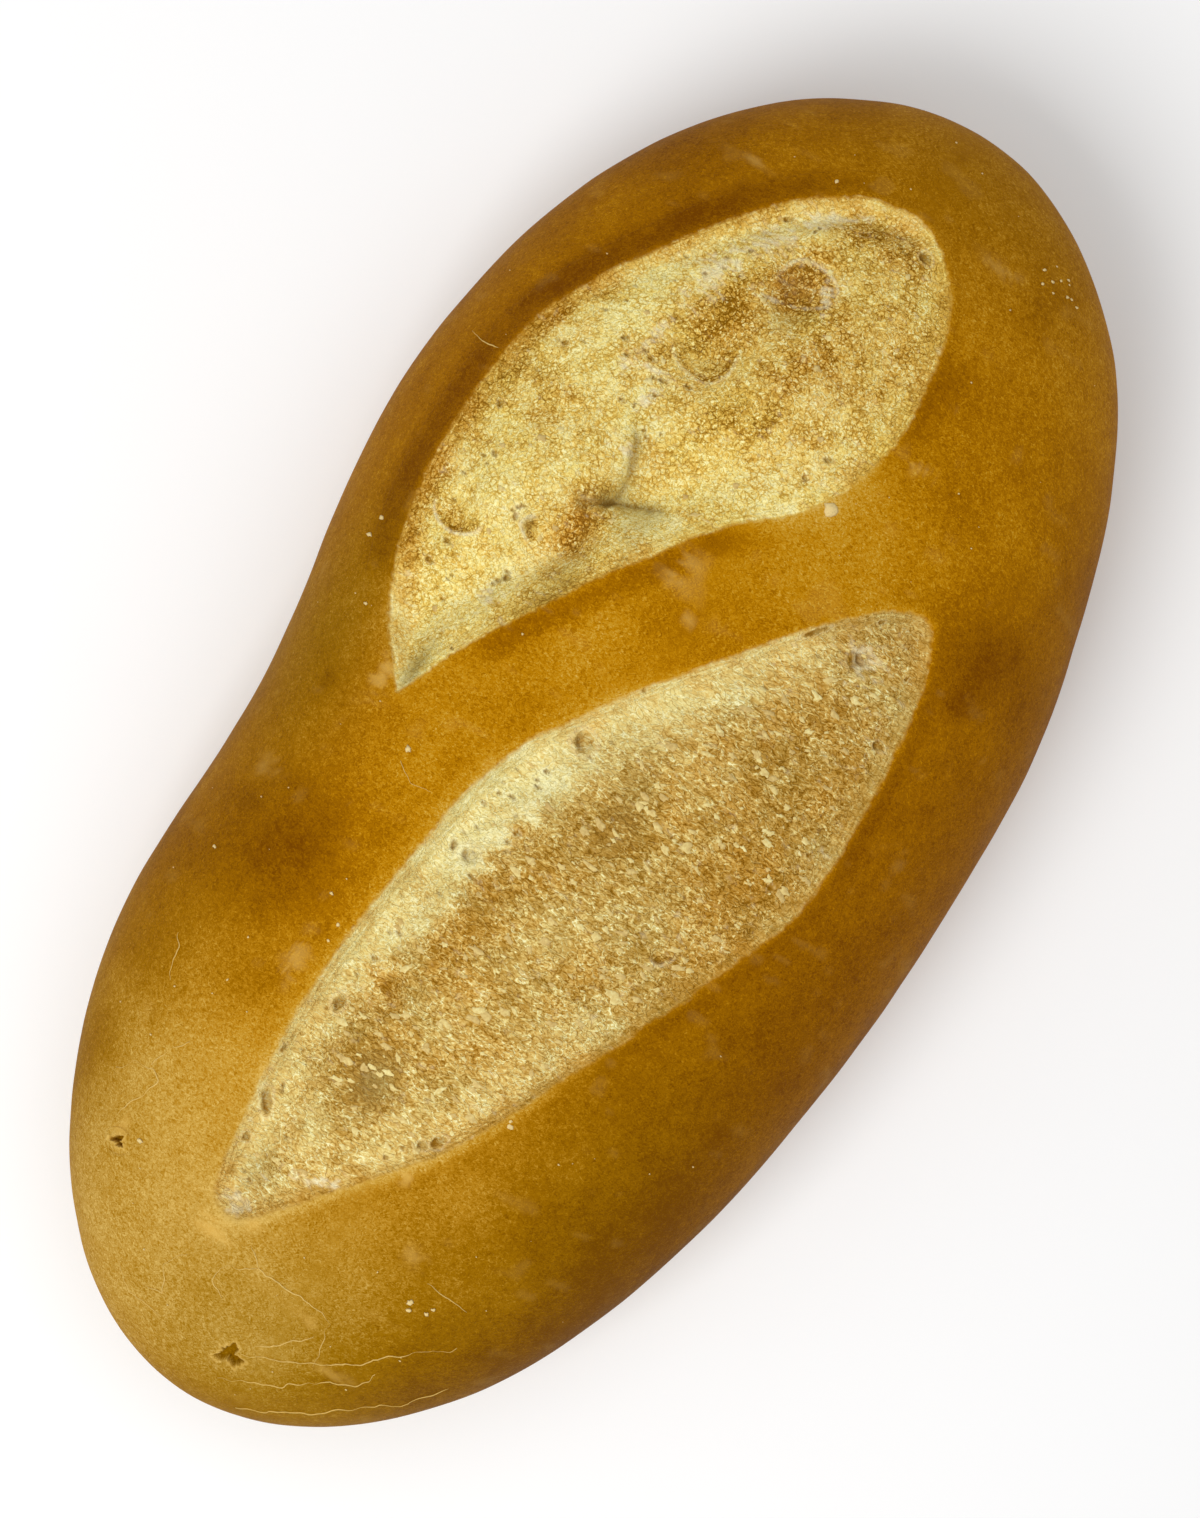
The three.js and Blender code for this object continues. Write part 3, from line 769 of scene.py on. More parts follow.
def browning(x, y, z):
    """The crust's colour fields from 0 to 1: the bake, how olive it is, and pale scuffs.

    The bake, from pale gold to dark brown, sums patches on top and bands beside the lips. It is paler right
    at the lips, darker towards the belly, and pale and mottled on the heel and the base. Scuffs are patches
    broken into streaks across the loaf, which fade towards the belly, and faint ones down to the heel.
    """
    bake = BAKE + patches(x, y, BAKE_PATCHES)
    bake = bake + 0.07 * unevenness(x, y, 16, 31, z) + 0.04 * unevenness(x, y, 5, 32, z)
    on_dome = z > 36
    for slash in (LONG_SLASH, WIDE_SLASH):
        place = slash_place(slash, x[on_dome], y[on_dome])
        beside = bands(place, slash["bake_bands"]) - 0.1 * bell(place["inside"], 1.2)
        bake[on_dome] += ease(2, 0, place["inside"]) * ease(36, 48, z[on_dome]) * beside
    bake = bake + 0.08 * ease(50, 32, z)
    low = ease(24, 4, z + 3 * unevenness(x, y, 20, 33))
    heel = 0.42 + 0.1 * unevenness(x, y, 12, 34, z) + 0.06 * unevenness(x, y, 4, 35, z)
    bake = bake * (1 - low) + heel * low

    streaks = 0.5 * unevenness(x, y / 2.5, 0.9, 36) + 0.4 * unevenness(x, y / 2, 2.4, 37)
    faint = unevenness(x, y / 2.2, 2.2, 38, z / 2.2) + 0.4 * unevenness(x, y, 9, 39, z)
    faint = 0.12 * ease(0.55, 0.9, faint)
    scuff = patches(x, y, SCUFFS) * ease(32, 46, z)
    scuff = scuff * ease(-0.2, 0.5, streaks + scuff - 0.3) + faint
    fields = dict(bake=bake, olive=patches(x, y, OLIVE_PATCHES), scuff=scuff * (1 - low))
    return {name: np.clip(values, 0, 1) for name, values in fields.items()}


# Meshes

def loft_faces(rows, count):
    """Quads between neighbouring closed loops of points, and a fan of triangles to a middle at each end.

    The points are rows times count, then the first end's middle, then the last end's.
    """
    row, step = np.meshgrid(np.arange(rows - 1), np.arange(count), indexing="ij")
    here, beside = row * count + step, row * count + (step + 1) % count
    quads = np.stack([here, here + count, beside + count, beside], axis=-1).reshape(-1, 4)
    step = np.arange(count)
    last = (rows - 1) * count
    first_fan = np.stack([np.full(count, rows * count), step, (step + 1) % count], axis=-1)
    last_fan = np.stack([np.full(count, rows * count + 1), last + (step + 1) % count, last + step], axis=-1)
    return quads, np.vstack([first_fan, last_fan])


def lofted(loops):
    """A closed surface through closed loops: its points, with both end loops' middles, and its faces."""
    rows, count = loops.shape[:2]
    points = np.vstack([loops.reshape(-1, 3), loops[:1].mean(axis=1), loops[-1:].mean(axis=1)])
    return (points, *loft_faces(rows, count))


def field_on_loft(values):
    """A field given on the loops, with its mean over each end loop for that end's middle point."""
    return np.concatenate([values.ravel(), [values[0].mean(), values[-1].mean()]])


def piece(name, surface, fields, material, slot):
    """Puts a surface in millimetres and its fields into a smooth mesh that rides on the loaf."""
    points, quads, triangles = surface
    corners = np.concatenate([quads.ravel(), triangles.ravel()]).astype(np.int32)
    sizes = np.concatenate([np.full(len(quads), 4), np.full(len(triangles), 3)])
    mesh = bpy.data.meshes.new(name)
    mesh.vertices.add(len(points))
    placed = (points - np.array([0, CENTRE_Y, 0])) * METRES
    mesh.vertices.foreach_set("co", placed.astype(np.float32).ravel())
    mesh.loops.add(len(corners))
    mesh.loops.foreach_set("vertex_index", corners)
    mesh.polygons.add(len(sizes))
    mesh.polygons.foreach_set("loop_start", (np.cumsum(sizes) - sizes).astype(np.int32))
    mesh.polygons.foreach_set("use_smooth", np.ones(len(sizes), bool))
    mesh.update(calc_edges=True)
    for field, values in fields.items():
        layer = mesh.attributes.new(field, "FLOAT", "POINT")
        layer.data.foreach_set("value", np.ascontiguousarray(values, np.float32))
    mesh.materials.append(material)
    made = bpy.data.objects.new(name, mesh)
    bpy.context.scene.collection.objects.link(made)
    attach(made, "root")
    return made


def crust_surface():
    """The whole crust as rings: from the top of the dome to the belly, round the heel, and across the base.

    Every ring follows the outline at its share of it. The dome dips under the slashes and punctures, out of
    sight, and the whole surface is moved square to itself by the crust's unevenness.
    """
    dome = np.arange(1, DOME_RINGS + 1) / DOME_RINGS * np.pi / 2
    heel = np.arange(1, HEEL_RINGS + 1) / HEEL_RINGS * np.pi / 2
    base = BASE_SHARE * (1 - np.arange(1, BASE_RINGS + 1) / (BASE_RINGS + 0.5))
    shares = np.concatenate([
        np.sin(dome) ** (2 / DOME_POWER), BASE_SHARE + (1 - BASE_SHARE) * np.cos(heel), base
    ])
    heights = np.concatenate([
        BELLY_HEIGHT + (HEIGHT - BELLY_HEIGHT) * np.abs(np.cos(dome)) ** (2 / DOME_POWER),
        BELLY_HEIGHT * (1 - np.sin(heel)),
        np.zeros(BASE_RINGS),
    ])
    x, y = plan_point(shares[:, None], full_turn(CRUST_STEPS)[None])
    z = np.broadcast_to(heights[:, None], x.shape)
    loops = np.stack([x, y, z], axis=-1)
    downwards = np.gradient(loops, axis=0)
    around = np.roll(loops, -1, axis=1) - np.roll(loops, 1, axis=1)
    outward = np.cross(downwards, around)
    outward /= np.maximum(np.linalg.norm(outward, axis=-1, keepdims=True), 1e-9)

    moved = crust_unevenness(x, y, z)
    on_base = ease(6, 0, z)
    moved = moved * (1 - on_base) - on_base * (0.25 + 0.2 * unevenness(x, y, 9, 41))
    top = slice(0, DOME_RINGS)
    for slash in (LONG_SLASH, WIDE_SLASH):
        inside = slash_place(slash, x[top], y[top])["inside"]
        moved[top] -= HOLLOW * ease(-4, 9, inside)
    for hole_x, hole_y, radius in PUNCTURES:
        moved[top] -= 3 * ease(2.1 * radius, 1.4 * radius, np.hypot(x[top] - hole_x, y[top] - hole_y))
    fields = {name: field_on_loft(values) for name, values in browning(x, y, z).items()}
    return lofted(loops + moved[..., None] * outward), fields


def grown_lip(line, side, tips):
    """A lip moved out by the collar: square to itself in the middle, and along the slash at its two tips."""
    out = side * square_to(line)
    share = np.linspace(0, 1, len(line))[:, None]
    start, end = ease(0.07, 0, share), ease(0.93, 1, share)
    out = out * (1 - start - end) + tips[0] * start + tips[1] * end
    return line + COLLAR * out / np.linalg.norm(out, axis=1, keepdims=True)


def slash_height(slash, x, y):
    """Height over the dome of a slash and its collar, and the colour fields.

    Outside the lips the surface lies on the crust and rises a little to the lip. It rounds over the lip to
    the crumb within about four millimetres. The collar's outer edge sinks into the crust.
    """
    place = slash_place(slash, x, y)
    ragged = place["inside"] + 0.3 * unevenness(x, y, 6, 51) + 0.12 * unevenness(x, y, 2, 52)
    relief, fields = torn_crumb(slash, place, x, y)
    crumb = crumb_height(slash, place, x, y) + relief
    crust = 0.06 + 0.2 * bell(place["inside"], 2.0) - 0.7 * ease(-5.2, -COLLAR, place["inside"])
    height = crust + (crumb - crust) * ease(-1.2, 3.2, ragged) + crust_unevenness(x, y)
    fields["skin"] = ease(0.5, -0.4, ragged + 0.25 * unevenness(x, y, 0.9, 53))
    fields["tear"] = place["inside"]
    fields["run"] = place["along"] * LENGTH / 2
    return height, fields


def slash_surface(slash):
    """A slash with a collar of crust round it: rows from tip to tip, columns from lip to lip.

    Each row is closed by two root points deep under the crust.
    """
    upper, lower = smooth_line(slash["upper_lip"]), smooth_line(slash["lower_lip"])
    chord = (upper[-1] - upper[0]) / np.linalg.norm(upper[-1] - upper[0])
    upper = evenly(grown_lip(upper, 1, (-chord, chord)), slash["rows"])[1:-1]
    lower = evenly(grown_lip(lower, -1, (-chord, chord)), slash["rows"])[1:-1]
    across = np.linspace(0, 1, slash["columns"] + 1)[None, :]
    x = lower[:, :1] + (upper[:, :1] - lower[:, :1]) * across
    y = lower[:, 1:] + (upper[:, 1:] - lower[:, 1:]) * across
    height, fields = slash_height(slash, x, y)
    top = over_dome(x, y, height)
    edges = np.stack([x[:, -1], x[:, 0]], axis=1), np.stack([y[:, -1], y[:, 0]], axis=1)
    roots = over_dome(*edges, np.full(edges[0].shape, -ROOT))

    fields.update(browning(x, y, top[..., 2]))
    closed = {
        name: field_on_loft(np.concatenate([values, values[:, [-1, 0]]], axis=1))
        for name, values in fields.items()
    }
    return lofted(np.concatenate([top, roots], axis=1)), closed


def joined(surfaces):
    """Several surfaces as one: their points in a row, and their faces counted on from each other."""
    points, quads, triangles = [], [], []
    counted = 0
    for some_points, some_quads, some_triangles in surfaces:
        points.append(some_points)
        quads.append(some_quads + counted)
        triangles.append(some_triangles + counted)
        counted += len(some_points)
    return np.vstack(points), np.vstack(quads), np.vstack(triangles)


def crack_surface(corners, seed):
    """A hairline crack's raised pale edge: a low four-sided profile along a jagged line.

    It tapers to both ends, sinks to nearly nothing here and there, and is narrower where the dome is steep.
    """
    corners = np.array(corners, float)
    run = run_of(corners)
    line = points_at(corners, run, np.linspace(0, run[-1], int(run[-1] / LINE_STEP) + 2))
    for reach, size in CRACK_JAGS:
        shifts = [unevenness(*line.T, size, seed), unevenness(*line.T, size, seed + 1)]
        line = line + reach * np.stack(shifts, axis=-1)
    out = square_to(line)
    share = np.linspace(0, 1, len(line))
    raised = np.clip(0.75 + 0.8 * unevenness(*line.T, 3.5, seed + 2), 0.12, 1)
    half = 0.5 * CRACK_WIDTH * raised * np.sin(np.pi * np.clip(share, 0.04, 0.96)) ** 0.4
    half = half * (0.3 + 0.7 * ease(40, 66, dome_height(*line.T)))
    loops = []
    for side, height in CRACK_SECTION:
        spot = line + side * half[:, None] * out
        loops.append(over_dome(*spot.T, height * raised + crust_unevenness(*spot.T)))
    return lofted(np.stack(loops, axis=1))


def flake_surfaces():
    """Loose flakes on the crust: low irregular domes, each three rings of points about its place."""
    random = np.random.default_rng(7)
    named = np.array(FLAKES)
    bearing = random.uniform(0, 2 * np.pi, SCATTERED_FLAKES)
    x, y = plan_point(random.uniform(0.3, 0.97, SCATTERED_FLAKES), bearing)
    off_slashes = np.ones(SCATTERED_FLAKES, bool)
    for slash in (LONG_SLASH, WIDE_SLASH):
        off_slashes &= slash_place(slash, x, y)["inside"] < -2
    spread = np.stack([x, y, random.uniform(*SCATTERED_RADII, SCATTERED_FLAKES)], axis=-1)[off_slashes]
    places = np.vstack([named, spread])
    turns = full_turn(FLAKE_STEPS)
    made = []
    for spot_x, spot_y, radius in places:
        edge = radius * (1 + 0.35 * random.uniform(-1, 1, FLAKE_STEPS))
        stretch = random.uniform(0.6, 1.0)
        loops = []
        for share, height in FLAKE_SECTION:
            ring_x = spot_x + stretch * share * edge * np.cos(turns)
            ring_y = spot_y + share * edge * np.sin(turns)
            loops.append(over_dome(ring_x, ring_y, 0.12 + height * radius + crust_unevenness(ring_x, ring_y)))
        made.append(lofted(np.stack(loops)))
    return made


def crumb_flakes(slash):
    """Thin torn flakes lying on a slash's crumb: their surfaces, and how toasted each one is.

    Each is three rings of points about its place, with a ragged edge. Besides the larger ones, many small
    ones are strewn at random, drawn out across the loaf like the crumb's grains, and fewer along the upper
    lip.
    """
    random = np.random.default_rng(slash["rows"])
    lips = np.array(slash["upper_lip"] + slash["lower_lip"])
    spots = random.uniform(lips.min(axis=0), lips.max(axis=0), (slash["flakes"], 2))
    place = slash_place(slash, *spots.T)
    share = 1 - 0.7 * plateau(-5, 10, 3, place["upper"]) + 0.6 * unevenness(*spots.T, 9, 71)
    spots = spots[(place["inside"] > 2.5) & (random.uniform(0, 1, len(spots)) < share)]
    least, wider = CRUMB_FLAKE_WIDTH
    half_wide = least + wider * random.uniform(0, 1, len(spots)) ** 2
    half_long = half_wide * slash["drawn"] * random.uniform(0.8, 1.3, len(spots))
    bearings = random.normal(90, 20, len(spots))
    ovals = np.vstack([slash["torn_flakes"], np.column_stack([spots, half_long, half_wide, bearings])])

    turns = full_turn(CRUMB_FLAKE_STEPS)
    ragged = random.uniform(0.5, 1.3, (len(ovals), CRUMB_FLAKE_STEPS))
    along, across = ovals[:, 2:3] * ragged * np.cos(turns), ovals[:, 3:4] * ragged * np.sin(turns)
    bearing = np.radians(ovals[:, 4:])
    out_x = along * np.cos(bearing) - across * np.sin(bearing)
    out_y = along * np.sin(bearing) + across * np.cos(bearing)
    rings, lifts = np.array(CRUMB_FLAKE_SECTION).T[:, None, :, None]
    x = ovals[:, :1, None] + rings * out_x[:, None]
    y = ovals[:, 1:2, None] + rings * out_y[:, None]
    surfaces = [lofted(loops) for loops in over_dome(x, y, slash_height(slash, x, y)[0] + lifts)]
    return surfaces, np.repeat(random.uniform(*CRUMB_FLAKE_TOAST, len(ovals)), len(surfaces[0][0]))


def puncture_surface(hole_x, hole_y, radius, seed):
    """A small hole torn through the crust: rings from its middle out over a ragged raised rim.

    Three waves round the turn make its edge ragged. The outermost rings go under the crust.
    """
    turns = full_turn(PUNCTURE_STEPS)
    ragged = 1 + 0.3 * np.sin(3 * turns + seed) + 0.2 * np.sin(5 * turns + 2 * seed)
    ragged = ragged + 0.12 * np.sin(12 * turns)
    way = np.append(np.linspace(0.06, PUNCTURE_REACH, PUNCTURE_RINGS), PUNCTURE_REACH)[:, None] * radius
    torn = radius * ragged
    x, y = hole_x + way * np.cos(turns), hole_y + 1.2 * way * np.sin(turns)
    hole = ease(torn, 0.8 * torn, way)
    rim = bell(way - 1.15 * torn, 0.4)
    sunk = 0.5 * ease(2.2 * radius, PUNCTURE_REACH * radius, way)
    height = 0.1 + 0.2 * rim - PUNCTURE_DEPTH * hole - sunk + crust_unevenness(x, y)
    height[-1] -= PUNCTURE_ROOT
    loops = over_dome(x, y, height)
    fields = browning(x, y, loops[..., 2])
    fields["bake"] = (fields["bake"] - 0.15 * rim) * (1 - hole) + 0.78 * hole
    fields["scuff"] = np.maximum(fields["scuff"], 0.55 * rim) * (1 - hole)
    return lofted(loops), {name: field_on_loft(values) for name, values in fields.items()}


# Materials

def paint(red, green, blue):
    """A screen colour from 0 to 255 as the linear colour a shader takes."""
    shares = np.array([red, green, blue]) / 255
    linear = np.where(shares > 0.04045, ((shares + 0.055) / 1.055) ** 2.4, shares / 12.92)
    return (*linear.tolist(), 1.0)


class Shade:
    """A value in a material: arithmetic on it adds Math nodes."""

    def __init__(self, finish, socket):
        self.finish = finish
        self.socket = socket

    def maths(self, operation, first, second):
        """The value of a Math node on two values."""
        node = self.finish.node("ShaderNodeMath", {"operation": operation}, {0: first, 1: second})
        return Shade(self.finish, node.outputs[0])

    def __add__(self, other):
        return self.maths("ADD", self, other)

    __radd__ = __add__

    def __sub__(self, other):
        return self.maths("SUBTRACT", self, other)

    def __rsub__(self, other):
        return self.maths("SUBTRACT", other, self)

    def __mul__(self, other):
        return self.maths("MULTIPLY", self, other)

    __rmul__ = __mul__

    def above(self, level, width):
        """Rises from 0 to 1 as the value goes from the level to the level plus the width."""
        ends = {"Value": self, "From Min": level, "From Max": level + width}
        node = self.finish.node("ShaderNodeMapRange", {"interpolation_type": "SMOOTHSTEP"}, ends)
        return Shade(self.finish, node.outputs[0])

    def near(self, level, width):
        """1 where the value is at the level, falling to 0 at the width to either side: squiggles on noise."""
        return 1 - self.maths("ABSOLUTE", self - level, 0).above(0, width)


class Finish:
    """A procedural material, built from nodes that read the piece's own fields and its place in the loaf."""

    def __init__(self, name):
        self.material = bpy.data.materials.new(name)
        self.material.use_nodes = True
        self.tree = self.material.node_tree
        self.shader = self.tree.nodes["Principled BSDF"]
        self.place = self.node("ShaderNodeTexCoord").outputs["Object"]

    def node(self, kind, settings=(), sockets=()):
        """Adds a node of a type, with its settings, and then its sockets' values or links."""
        node = self.tree.nodes.new(kind)
        settings = dict(settings)
        stops = settings.pop("stops", ())
        for name, value in settings.items():
            setattr(node, name, value)
        for index, (position, colour) in enumerate(stops):
            ramp = node.color_ramp.elements
            stop = ramp[index] if index < 2 else ramp.new(position)
            stop.position = position
            stop.color = colour
        for socket, value in dict(sockets).items():
            self.feed(node.inputs[socket], value)
        return node

    def feed(self, socket, value):
        """Links a value to a socket, or sets the socket where the value is a plain number or colour."""
        source = value.socket if isinstance(value, Shade) else value
        if isinstance(source, bpy.types.NodeSocket):
            self.tree.links.new(source, socket)
        else:
            socket.default_value = source

    def field(self, name):
        """One of the piece's own fields."""
        node = self.node("ShaderNodeAttribute", {"attribute_name": name, "attribute_type": "GEOMETRY"})
        return Shade(self, node.outputs["Fac"])

    def stretched(self, stretch, place=None):
        """The place in the loaf with its axes drawn out."""
        sockets = {"Vector": place or self.place, "Scale": [1 / factor for factor in stretch]}
        return self.node("ShaderNodeMapping", (), sockets).outputs[0]

    def noise(self, size, detail=2.0, stretch=(1, 1, 1), distortion=0.0, roughness=0.5):
        """Noise with features of a size in millimetres and smaller, drawn out along the loaf's axes."""
        sockets = {"Vector": self.stretched(stretch), "Scale": 1 / (size * METRES), "Detail": detail}
        sockets.update({"Distortion": distortion, "Roughness": roughness})
        return Shade(self, self.node("ShaderNodeTexNoise", (), sockets).outputs[0])

    def warped(self, size, reach):
        """The place in the loaf, shifted by noise of a size, within a reach in millimetres."""
        noise = self.node("ShaderNodeTexNoise", (), {"Vector": self.place, "Scale": 1 / (size * METRES)})
        sockets = {0: noise.outputs["Color"], 1: [reach * METRES] * 3, 2: self.place}
        return self.node("ShaderNodeVectorMath", {"operation": "MULTIPLY_ADD"}, sockets).outputs[0]

    def walls(self, size, stretch, place):
        """Thin walls between cells of a size in millimetres: 1 on a wall, 0 in a cell."""
        sockets = {"Vector": self.stretched(stretch, place), "Scale": 1 / (size * METRES)}
        node = self.node("ShaderNodeTexVoronoi", {"feature": "DISTANCE_TO_EDGE"}, sockets)
        return 1 - Shade(self, node.outputs["Distance"]).above(0.02, 0.16)

    def lines_along_lip(self, run, spacing):
        """Fine lines that follow a lip: noise on the run along the slash and on the distance from the lip."""
        place = {"X": self.field("run") * (1 / run), "Y": self.field("tear") * (1 / spacing)}
        vector = self.node("ShaderNodeCombineXYZ", (), place).outputs[0]
        node = self.node("ShaderNodeTexNoise", (), {"Vector": vector, "Scale": 1.0, "Detail": 1.0})
        return Shade(self, node.outputs[0])

    def ramp(self, value, stops):
        """A colour from a value, by stops from 0 to 1."""
        return self.node("ShaderNodeValToRGB", {"stops": stops}, {"Fac": value}).outputs["Color"]

    def mix(self, first, second, share):
        """From the first colour to the second by a share."""
        node = self.node("ShaderNodeMix", {"data_type": "RGBA"}, {0: share, 6: first, 7: second})
        return node.outputs[2]

    def bump(self, height):
        """The normal for a height, in shares of the grain's depth."""
        sockets = {"Height": height, "Distance": GRAIN_DEPTH * METRES, "Strength": 1.0}
        return self.node("ShaderNodeBump", (), sockets).outputs[0]

    def finished(self, sockets):
        """Feeds the shader's sockets, each by its name, and gives the material."""
        for name, value in sockets.items():
            self.feed(self.shader.inputs[name], value)
        return self.material


CRUST_STOPS = (
    (0.0, paint(212, 172, 84)),
    (0.25, paint(193, 145, 38)),
    (0.45, paint(182, 124, 6)),
    (0.65, paint(156, 100, 0)),
    (0.85, paint(134, 82, 0)),
    (1.0, paint(112, 62, 0)),
)
OLIVE_STOPS = (
    (0.0, paint(202, 170, 94)),
    (0.25, paint(184, 152, 80)),
    (0.45, paint(164, 128, 46)),
    (0.65, paint(144, 104, 4)),
    (0.85, paint(128, 88, 0)),
    (1.0, paint(108, 70, 0)),
)
LONG_SLASH["stops"] = (
    (0.0, paint(244, 238, 184)),
    (0.15, paint(227, 214, 146)),
    (0.3, paint(214, 189, 114)),
    (0.45, paint(197, 165, 92)),
    (0.6, paint(178, 142, 67)),
    (0.8, paint(158, 119, 42)),
    (1.0, paint(130, 92, 16)),
)
WIDE_SLASH["stops"] = (
    (0.0, paint(249, 239, 170)),
    (0.15, paint(237, 217, 129)),
    (0.3, paint(224, 190, 92)),
    (0.45, paint(207, 167, 69)),
    (0.6, paint(182, 143, 55)),
    (0.8, paint(161, 120, 36)),
    (1.0, paint(132, 93, 12)),
)
WARM_CRUMB_STOPS = (
    (0.0, paint(247, 233, 172)),
    (0.15, paint(234, 208, 132)),
    (0.3, paint(223, 182, 96)),
    (0.45, paint(208, 158, 70)),
    (0.6, paint(189, 134, 44)),
    (0.8, paint(164, 110, 22)),
    (1.0, paint(134, 83, 6)),
)
SCUFFED = paint(216, 174, 88)
PALE_SKIN = paint(240, 230, 188)
# Painted shade colours: grey for the hollows, dark brown for holes, slits and creases
PAINTED_GREY_SHADE = paint(132, 112, 60)
PAINTED_PIT_SHADE = paint(130, 86, 4)
CRACK_SHADE = paint(212, 178, 98)
LOOSE_FLAKE = paint(224, 198, 134)
FAINT_GLOSS = 0.03
WARM_GLOSS = {"Specular IOR Level": FAINT_GLOSS, "Specular Tint": (1.0, 0.7, 0.15, 1.0)}
GRAIN_DEPTH = 0.15  # of the finest grain of crust and crumb


def crust_colour(finish):
    """Browning from the fields, broken up by soft blotches and fine pale specks, with scuffs over it.

    The finest mottle and the specks show less where the crust is darker.
    """
    mottle = finish.noise(0.55, 2.0, (1, 1.4, 1), 1.2, 0.6)
    broad = finish.noise(2.2, 2.0)
    blotch = finish.noise(8.0, 2.0)
    specks = finish.noise(0.55, 1.0, (1, 1.5, 1), 1.5).above(0.56, 0.14)
    bake = finish.field("bake")
    fine = ((mottle - 0.5) - specks * 0.2) * (1.5 - bake)
    bake = bake + fine + (broad - 0.5) * 0.22 + (blotch - 0.5) * 0.15
    colour = finish.mix(finish.ramp(bake, CRUST_STOPS), finish.ramp(bake, OLIVE_STOPS), finish.field("olive"))
    return finish.mix(colour, SCUFFED, finish.field("scuff") * (0.35 + mottle * 0.5)), mottle


def crumb_colour(finish, slash):
    """Toast from the field, broken into cells and squiggles, then pale skin, and painted shade in the hollows
    and pits.

    The toast is uneven at every size from two millimetres down. The walls of the cells are paler or browner
    than their middles. Thin grooves are browner and thin strands paler, and fine lines follow the lips.
    Where the crumb is warm, the same toast is more orange.
    """
    stretch = (1, slash["drawn"], 1)
    uneven = finish.noise(1.8, 2.0, stretch, 0.3, 0.8) - 0.5
    fine = finish.noise(0.45, 1.0, stretch, 0.8) - 0.5
    walls = finish.walls(slash["cell"], stretch, finish.warped(0.9, 0.8))
    patchy = finish.noise(4.5, 2.0).above(0.4, 0.2)
    grooves = finish.noise(1.1, 1.0, stretch, 0.6).near(0.48, 0.045)
    strands = finish.noise(1.4, 1.0, stretch, 0.6).near(0.53, 0.045)
    away = finish.field("tear").above(0.5, 4.0)
    lines = (finish.lines_along_lip(4.0, 0.5) - 0.5) * (1 - away)
    toast = finish.field("toast")
    toasted = toast.above(0.1, 0.5)
    grain = uneven * slash["mottling"] + fine * 0.9 + walls * patchy * slash["wall_toast"]
    grain = grain + grooves * 0.3 - strands * 0.32
    shown = (0.45 + toasted * 0.55) * (0.55 + away * 0.45) * slash["grain"]
    toast = toast + grain * shown + lines * 0.6
    cool, warm = finish.ramp(toast, slash["stops"]), finish.ramp(toast, WARM_CRUMB_STOPS)
    colour = finish.mix(cool, warm, finish.field("warm"))
    colour = finish.mix(colour, PALE_SKIN, finish.field("pale") * (0.75 + strands * 0.4 + fine))
    # Painted shade: greyer in the hollows and along the creases
    colour = finish.mix(colour, PAINTED_GREY_SHADE, finish.field("shade"))
    height = uneven + fine * 0.5 + walls * 0.3 + strands * 0.5 - grooves * 0.5
    # Painted shade: darker in the holes, slits and creases
    return finish.mix(colour, PAINTED_PIT_SHADE, finish.field("pit")), height


def crust_finish():
    """Satin baked crust."""
    finish = Finish("crust")
    colour, mottle = crust_colour(finish)
    return finish.finished({
        "Base Color": colour, "Roughness": 0.5 + mottle * 0.2, "Normal": finish.bump(mottle), **WARM_GLOSS
    })


def slash_finish(name, slash):
    """Torn crumb inside the lips and the same crust outside them."""
    finish = Finish(name)
    crust, mottle = crust_colour(finish)
    crumb, height = crumb_colour(finish, slash)
    skin = finish.field("skin")
    return finish.finished({
        "Base Color": finish.mix(crumb, crust, skin),
        "Roughness": 0.85 - skin * (0.35 - mottle * 0.2),
        "Normal": finish.bump(mottle * skin + height * (1 - skin)),
        **WARM_GLOSS,
    })


def flake_finish():
    """Thin dry flakes of crumb, each as toasted as its field says, with a slight grain and a pale cast."""
    finish = Finish("crumb_flakes")
    toast = finish.field("toast") + (finish.noise(0.6, 2.0) - 0.5) * 0.6
    colour = finish.mix(finish.ramp(toast, LONG_SLASH["stops"]), PALE_SKIN, 0.12)
    return finish.finished({"Base Color": colour, "Roughness": 0.85, "Specular IOR Level": FAINT_GLOSS})


def plain_finish(name, colour, roughness, size):
    """A pale dry finish with a slight grain of a size in millimetres."""
    finish = Finish(name)
    darker = (*[0.8 * channel for channel in colour[:3]], 1.0)
    grained = finish.mix(colour, darker, finish.noise(size, 2.0).above(0.4, 0.3))
    return finish.finished({"Base Color": grained, "Roughness": roughness, "Specular IOR Level": 0.2})


# The loaf

crust_material = crust_finish()
crust_loaf = piece("crust", *crust_surface(), crust_material, "crust")
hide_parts("loaf")
for name, slash in (("long_slash", LONG_SLASH), ("wide_slash", WIDE_SLASH)):
    piece(name, *slash_surface(slash), slash_finish(f"{name}_crumb", slash), "crumb")
for number, (x, y, radius) in enumerate(PUNCTURES, 1):
    piece(f"puncture_{number}", *puncture_surface(x, y, radius, number), crust_material, "crust")
long_flakes, long_toast = crumb_flakes(LONG_SLASH)
wide_flakes, wide_toast = crumb_flakes(WIDE_SLASH)
toast = np.concatenate([long_toast, wide_toast])
piece("crumb_flakes", joined(long_flakes + wide_flakes), {"toast": toast}, flake_finish(), "crumb")
cracks = joined([crack_surface(corners, 60 + 3 * index) for index, corners in enumerate(CRACKS)])
piece("hairline_cracks", cracks, {}, plain_finish("crack_edges", CRACK_SHADE, 0.7, 1.0), "crust")
dry_flakes = plain_finish("dry_flakes", LOOSE_FLAKE, 0.8, 0.5)
piece("loose_flakes", joined(flake_surfaces()), {}, dry_flakes, "crumb")


# Floor, light and camera

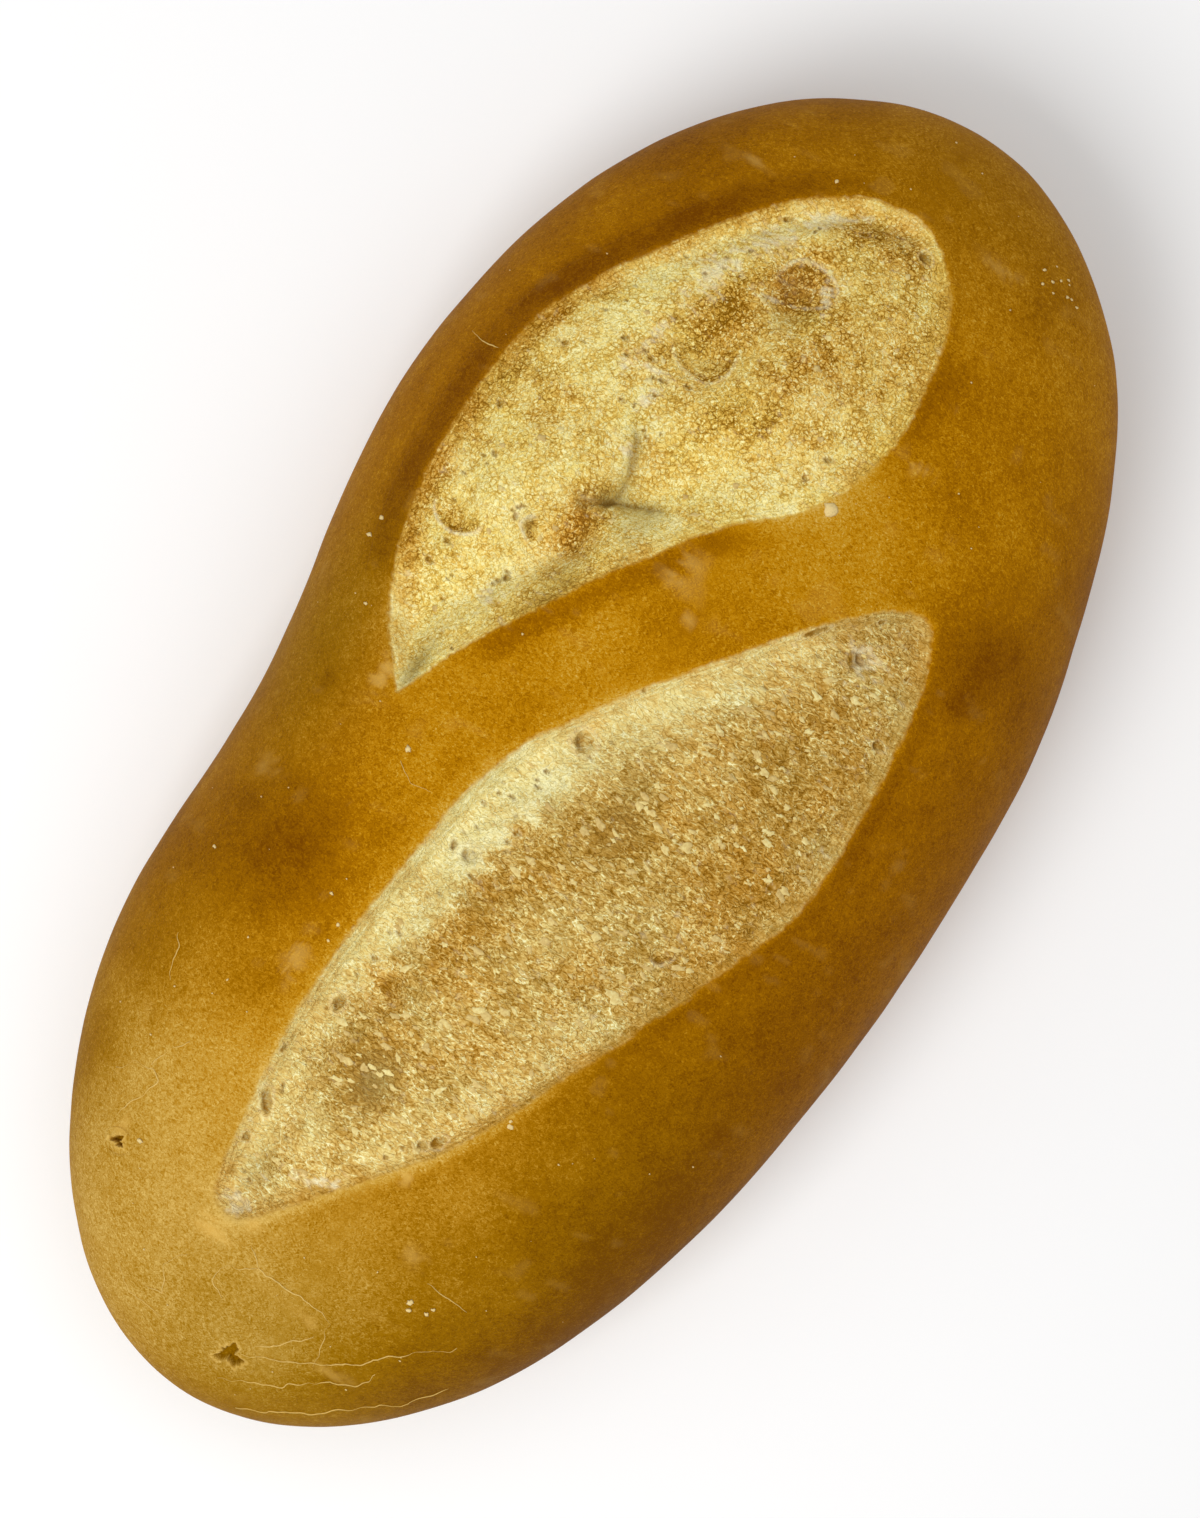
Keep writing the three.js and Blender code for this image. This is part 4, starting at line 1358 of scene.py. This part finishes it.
def floor():
    """A plain pale floor: a grid of squares, a little under the base."""
    in_row = FLOOR_SQUARES + 1
    side = np.linspace(-FLOOR_REACH, FLOOR_REACH, in_row)
    x, y = np.meshgrid(side, side, indexing="ij")
    points = np.stack([x, y, np.full(x.shape, -FLOOR_DROP)], axis=-1).reshape(-1, 3) * METRES
    row, column = np.meshgrid(np.arange(FLOOR_SQUARES), np.arange(FLOOR_SQUARES), indexing="ij")
    here = row * in_row + column
    quads = np.stack([here, here + in_row, here + in_row + 1, here + 1], axis=-1).reshape(-1, 4)
    mesh = bpy.data.meshes.new("floor")
    mesh.from_pydata(points.tolist(), [], quads.tolist())
    mesh.materials.append(plain_finish("pale_floor", (1.0, 1.0, 1.0, 1.0), 0.9, 4000.0))
    made = bpy.data.objects.new("floor", mesh)
    bpy.context.scene.collection.objects.link(made)


def softbox(name, place, size, power):
    """A square area light at a place in metres, aimed at the loaf."""
    light = bpy.data.lights.new(name, "AREA")
    light.size = size
    light.energy = power
    made = bpy.data.objects.new(name, light)
    made.location = place
    aim = -np.array(place) + np.array([0, 0, AIM_HEIGHT])
    flat = math.hypot(aim[0], aim[1])
    made.rotation_euler = (math.atan2(flat, -aim[2]), 0, math.atan2(-aim[0], aim[1]))
    bpy.context.scene.collection.objects.link(made)


def camera():
    """Looks straight down from the photograph's height, turned so that the loaf slants up to the right."""
    lens = bpy.data.cameras.new("camera")
    lens.sensor_width = SENSOR_WIDTH
    lens.lens = SENSOR_WIDTH * CAMERA_RISE / FRAME_HEIGHT
    lens.clip_end = VIEW_END
    made = bpy.data.objects.new("camera", lens)
    over_x, over_y = CAMERA_OVER
    made.location = np.array([over_x, over_y - CENTRE_Y, BELLY_HEIGHT + CAMERA_RISE]) * METRES
    made.rotation_euler = (0, 0, math.radians(CAMERA_TURN))
    bpy.context.scene.collection.objects.link(made)
    bpy.context.scene.camera = made


floor()
softbox("key", **KEY_LIGHT)
softbox("fill", **FILL_LIGHT)
world = bpy.data.worlds.new("studio")
world.use_nodes = True
world.node_tree.nodes["Background"].inputs["Color"].default_value = (1.0, 1.0, 1.0, 1.0)
world.node_tree.nodes["Background"].inputs["Strength"].default_value = STUDIO_LIGHT
bpy.context.scene.world = world
bpy.context.scene.view_settings.view_transform = "Standard"
camera()
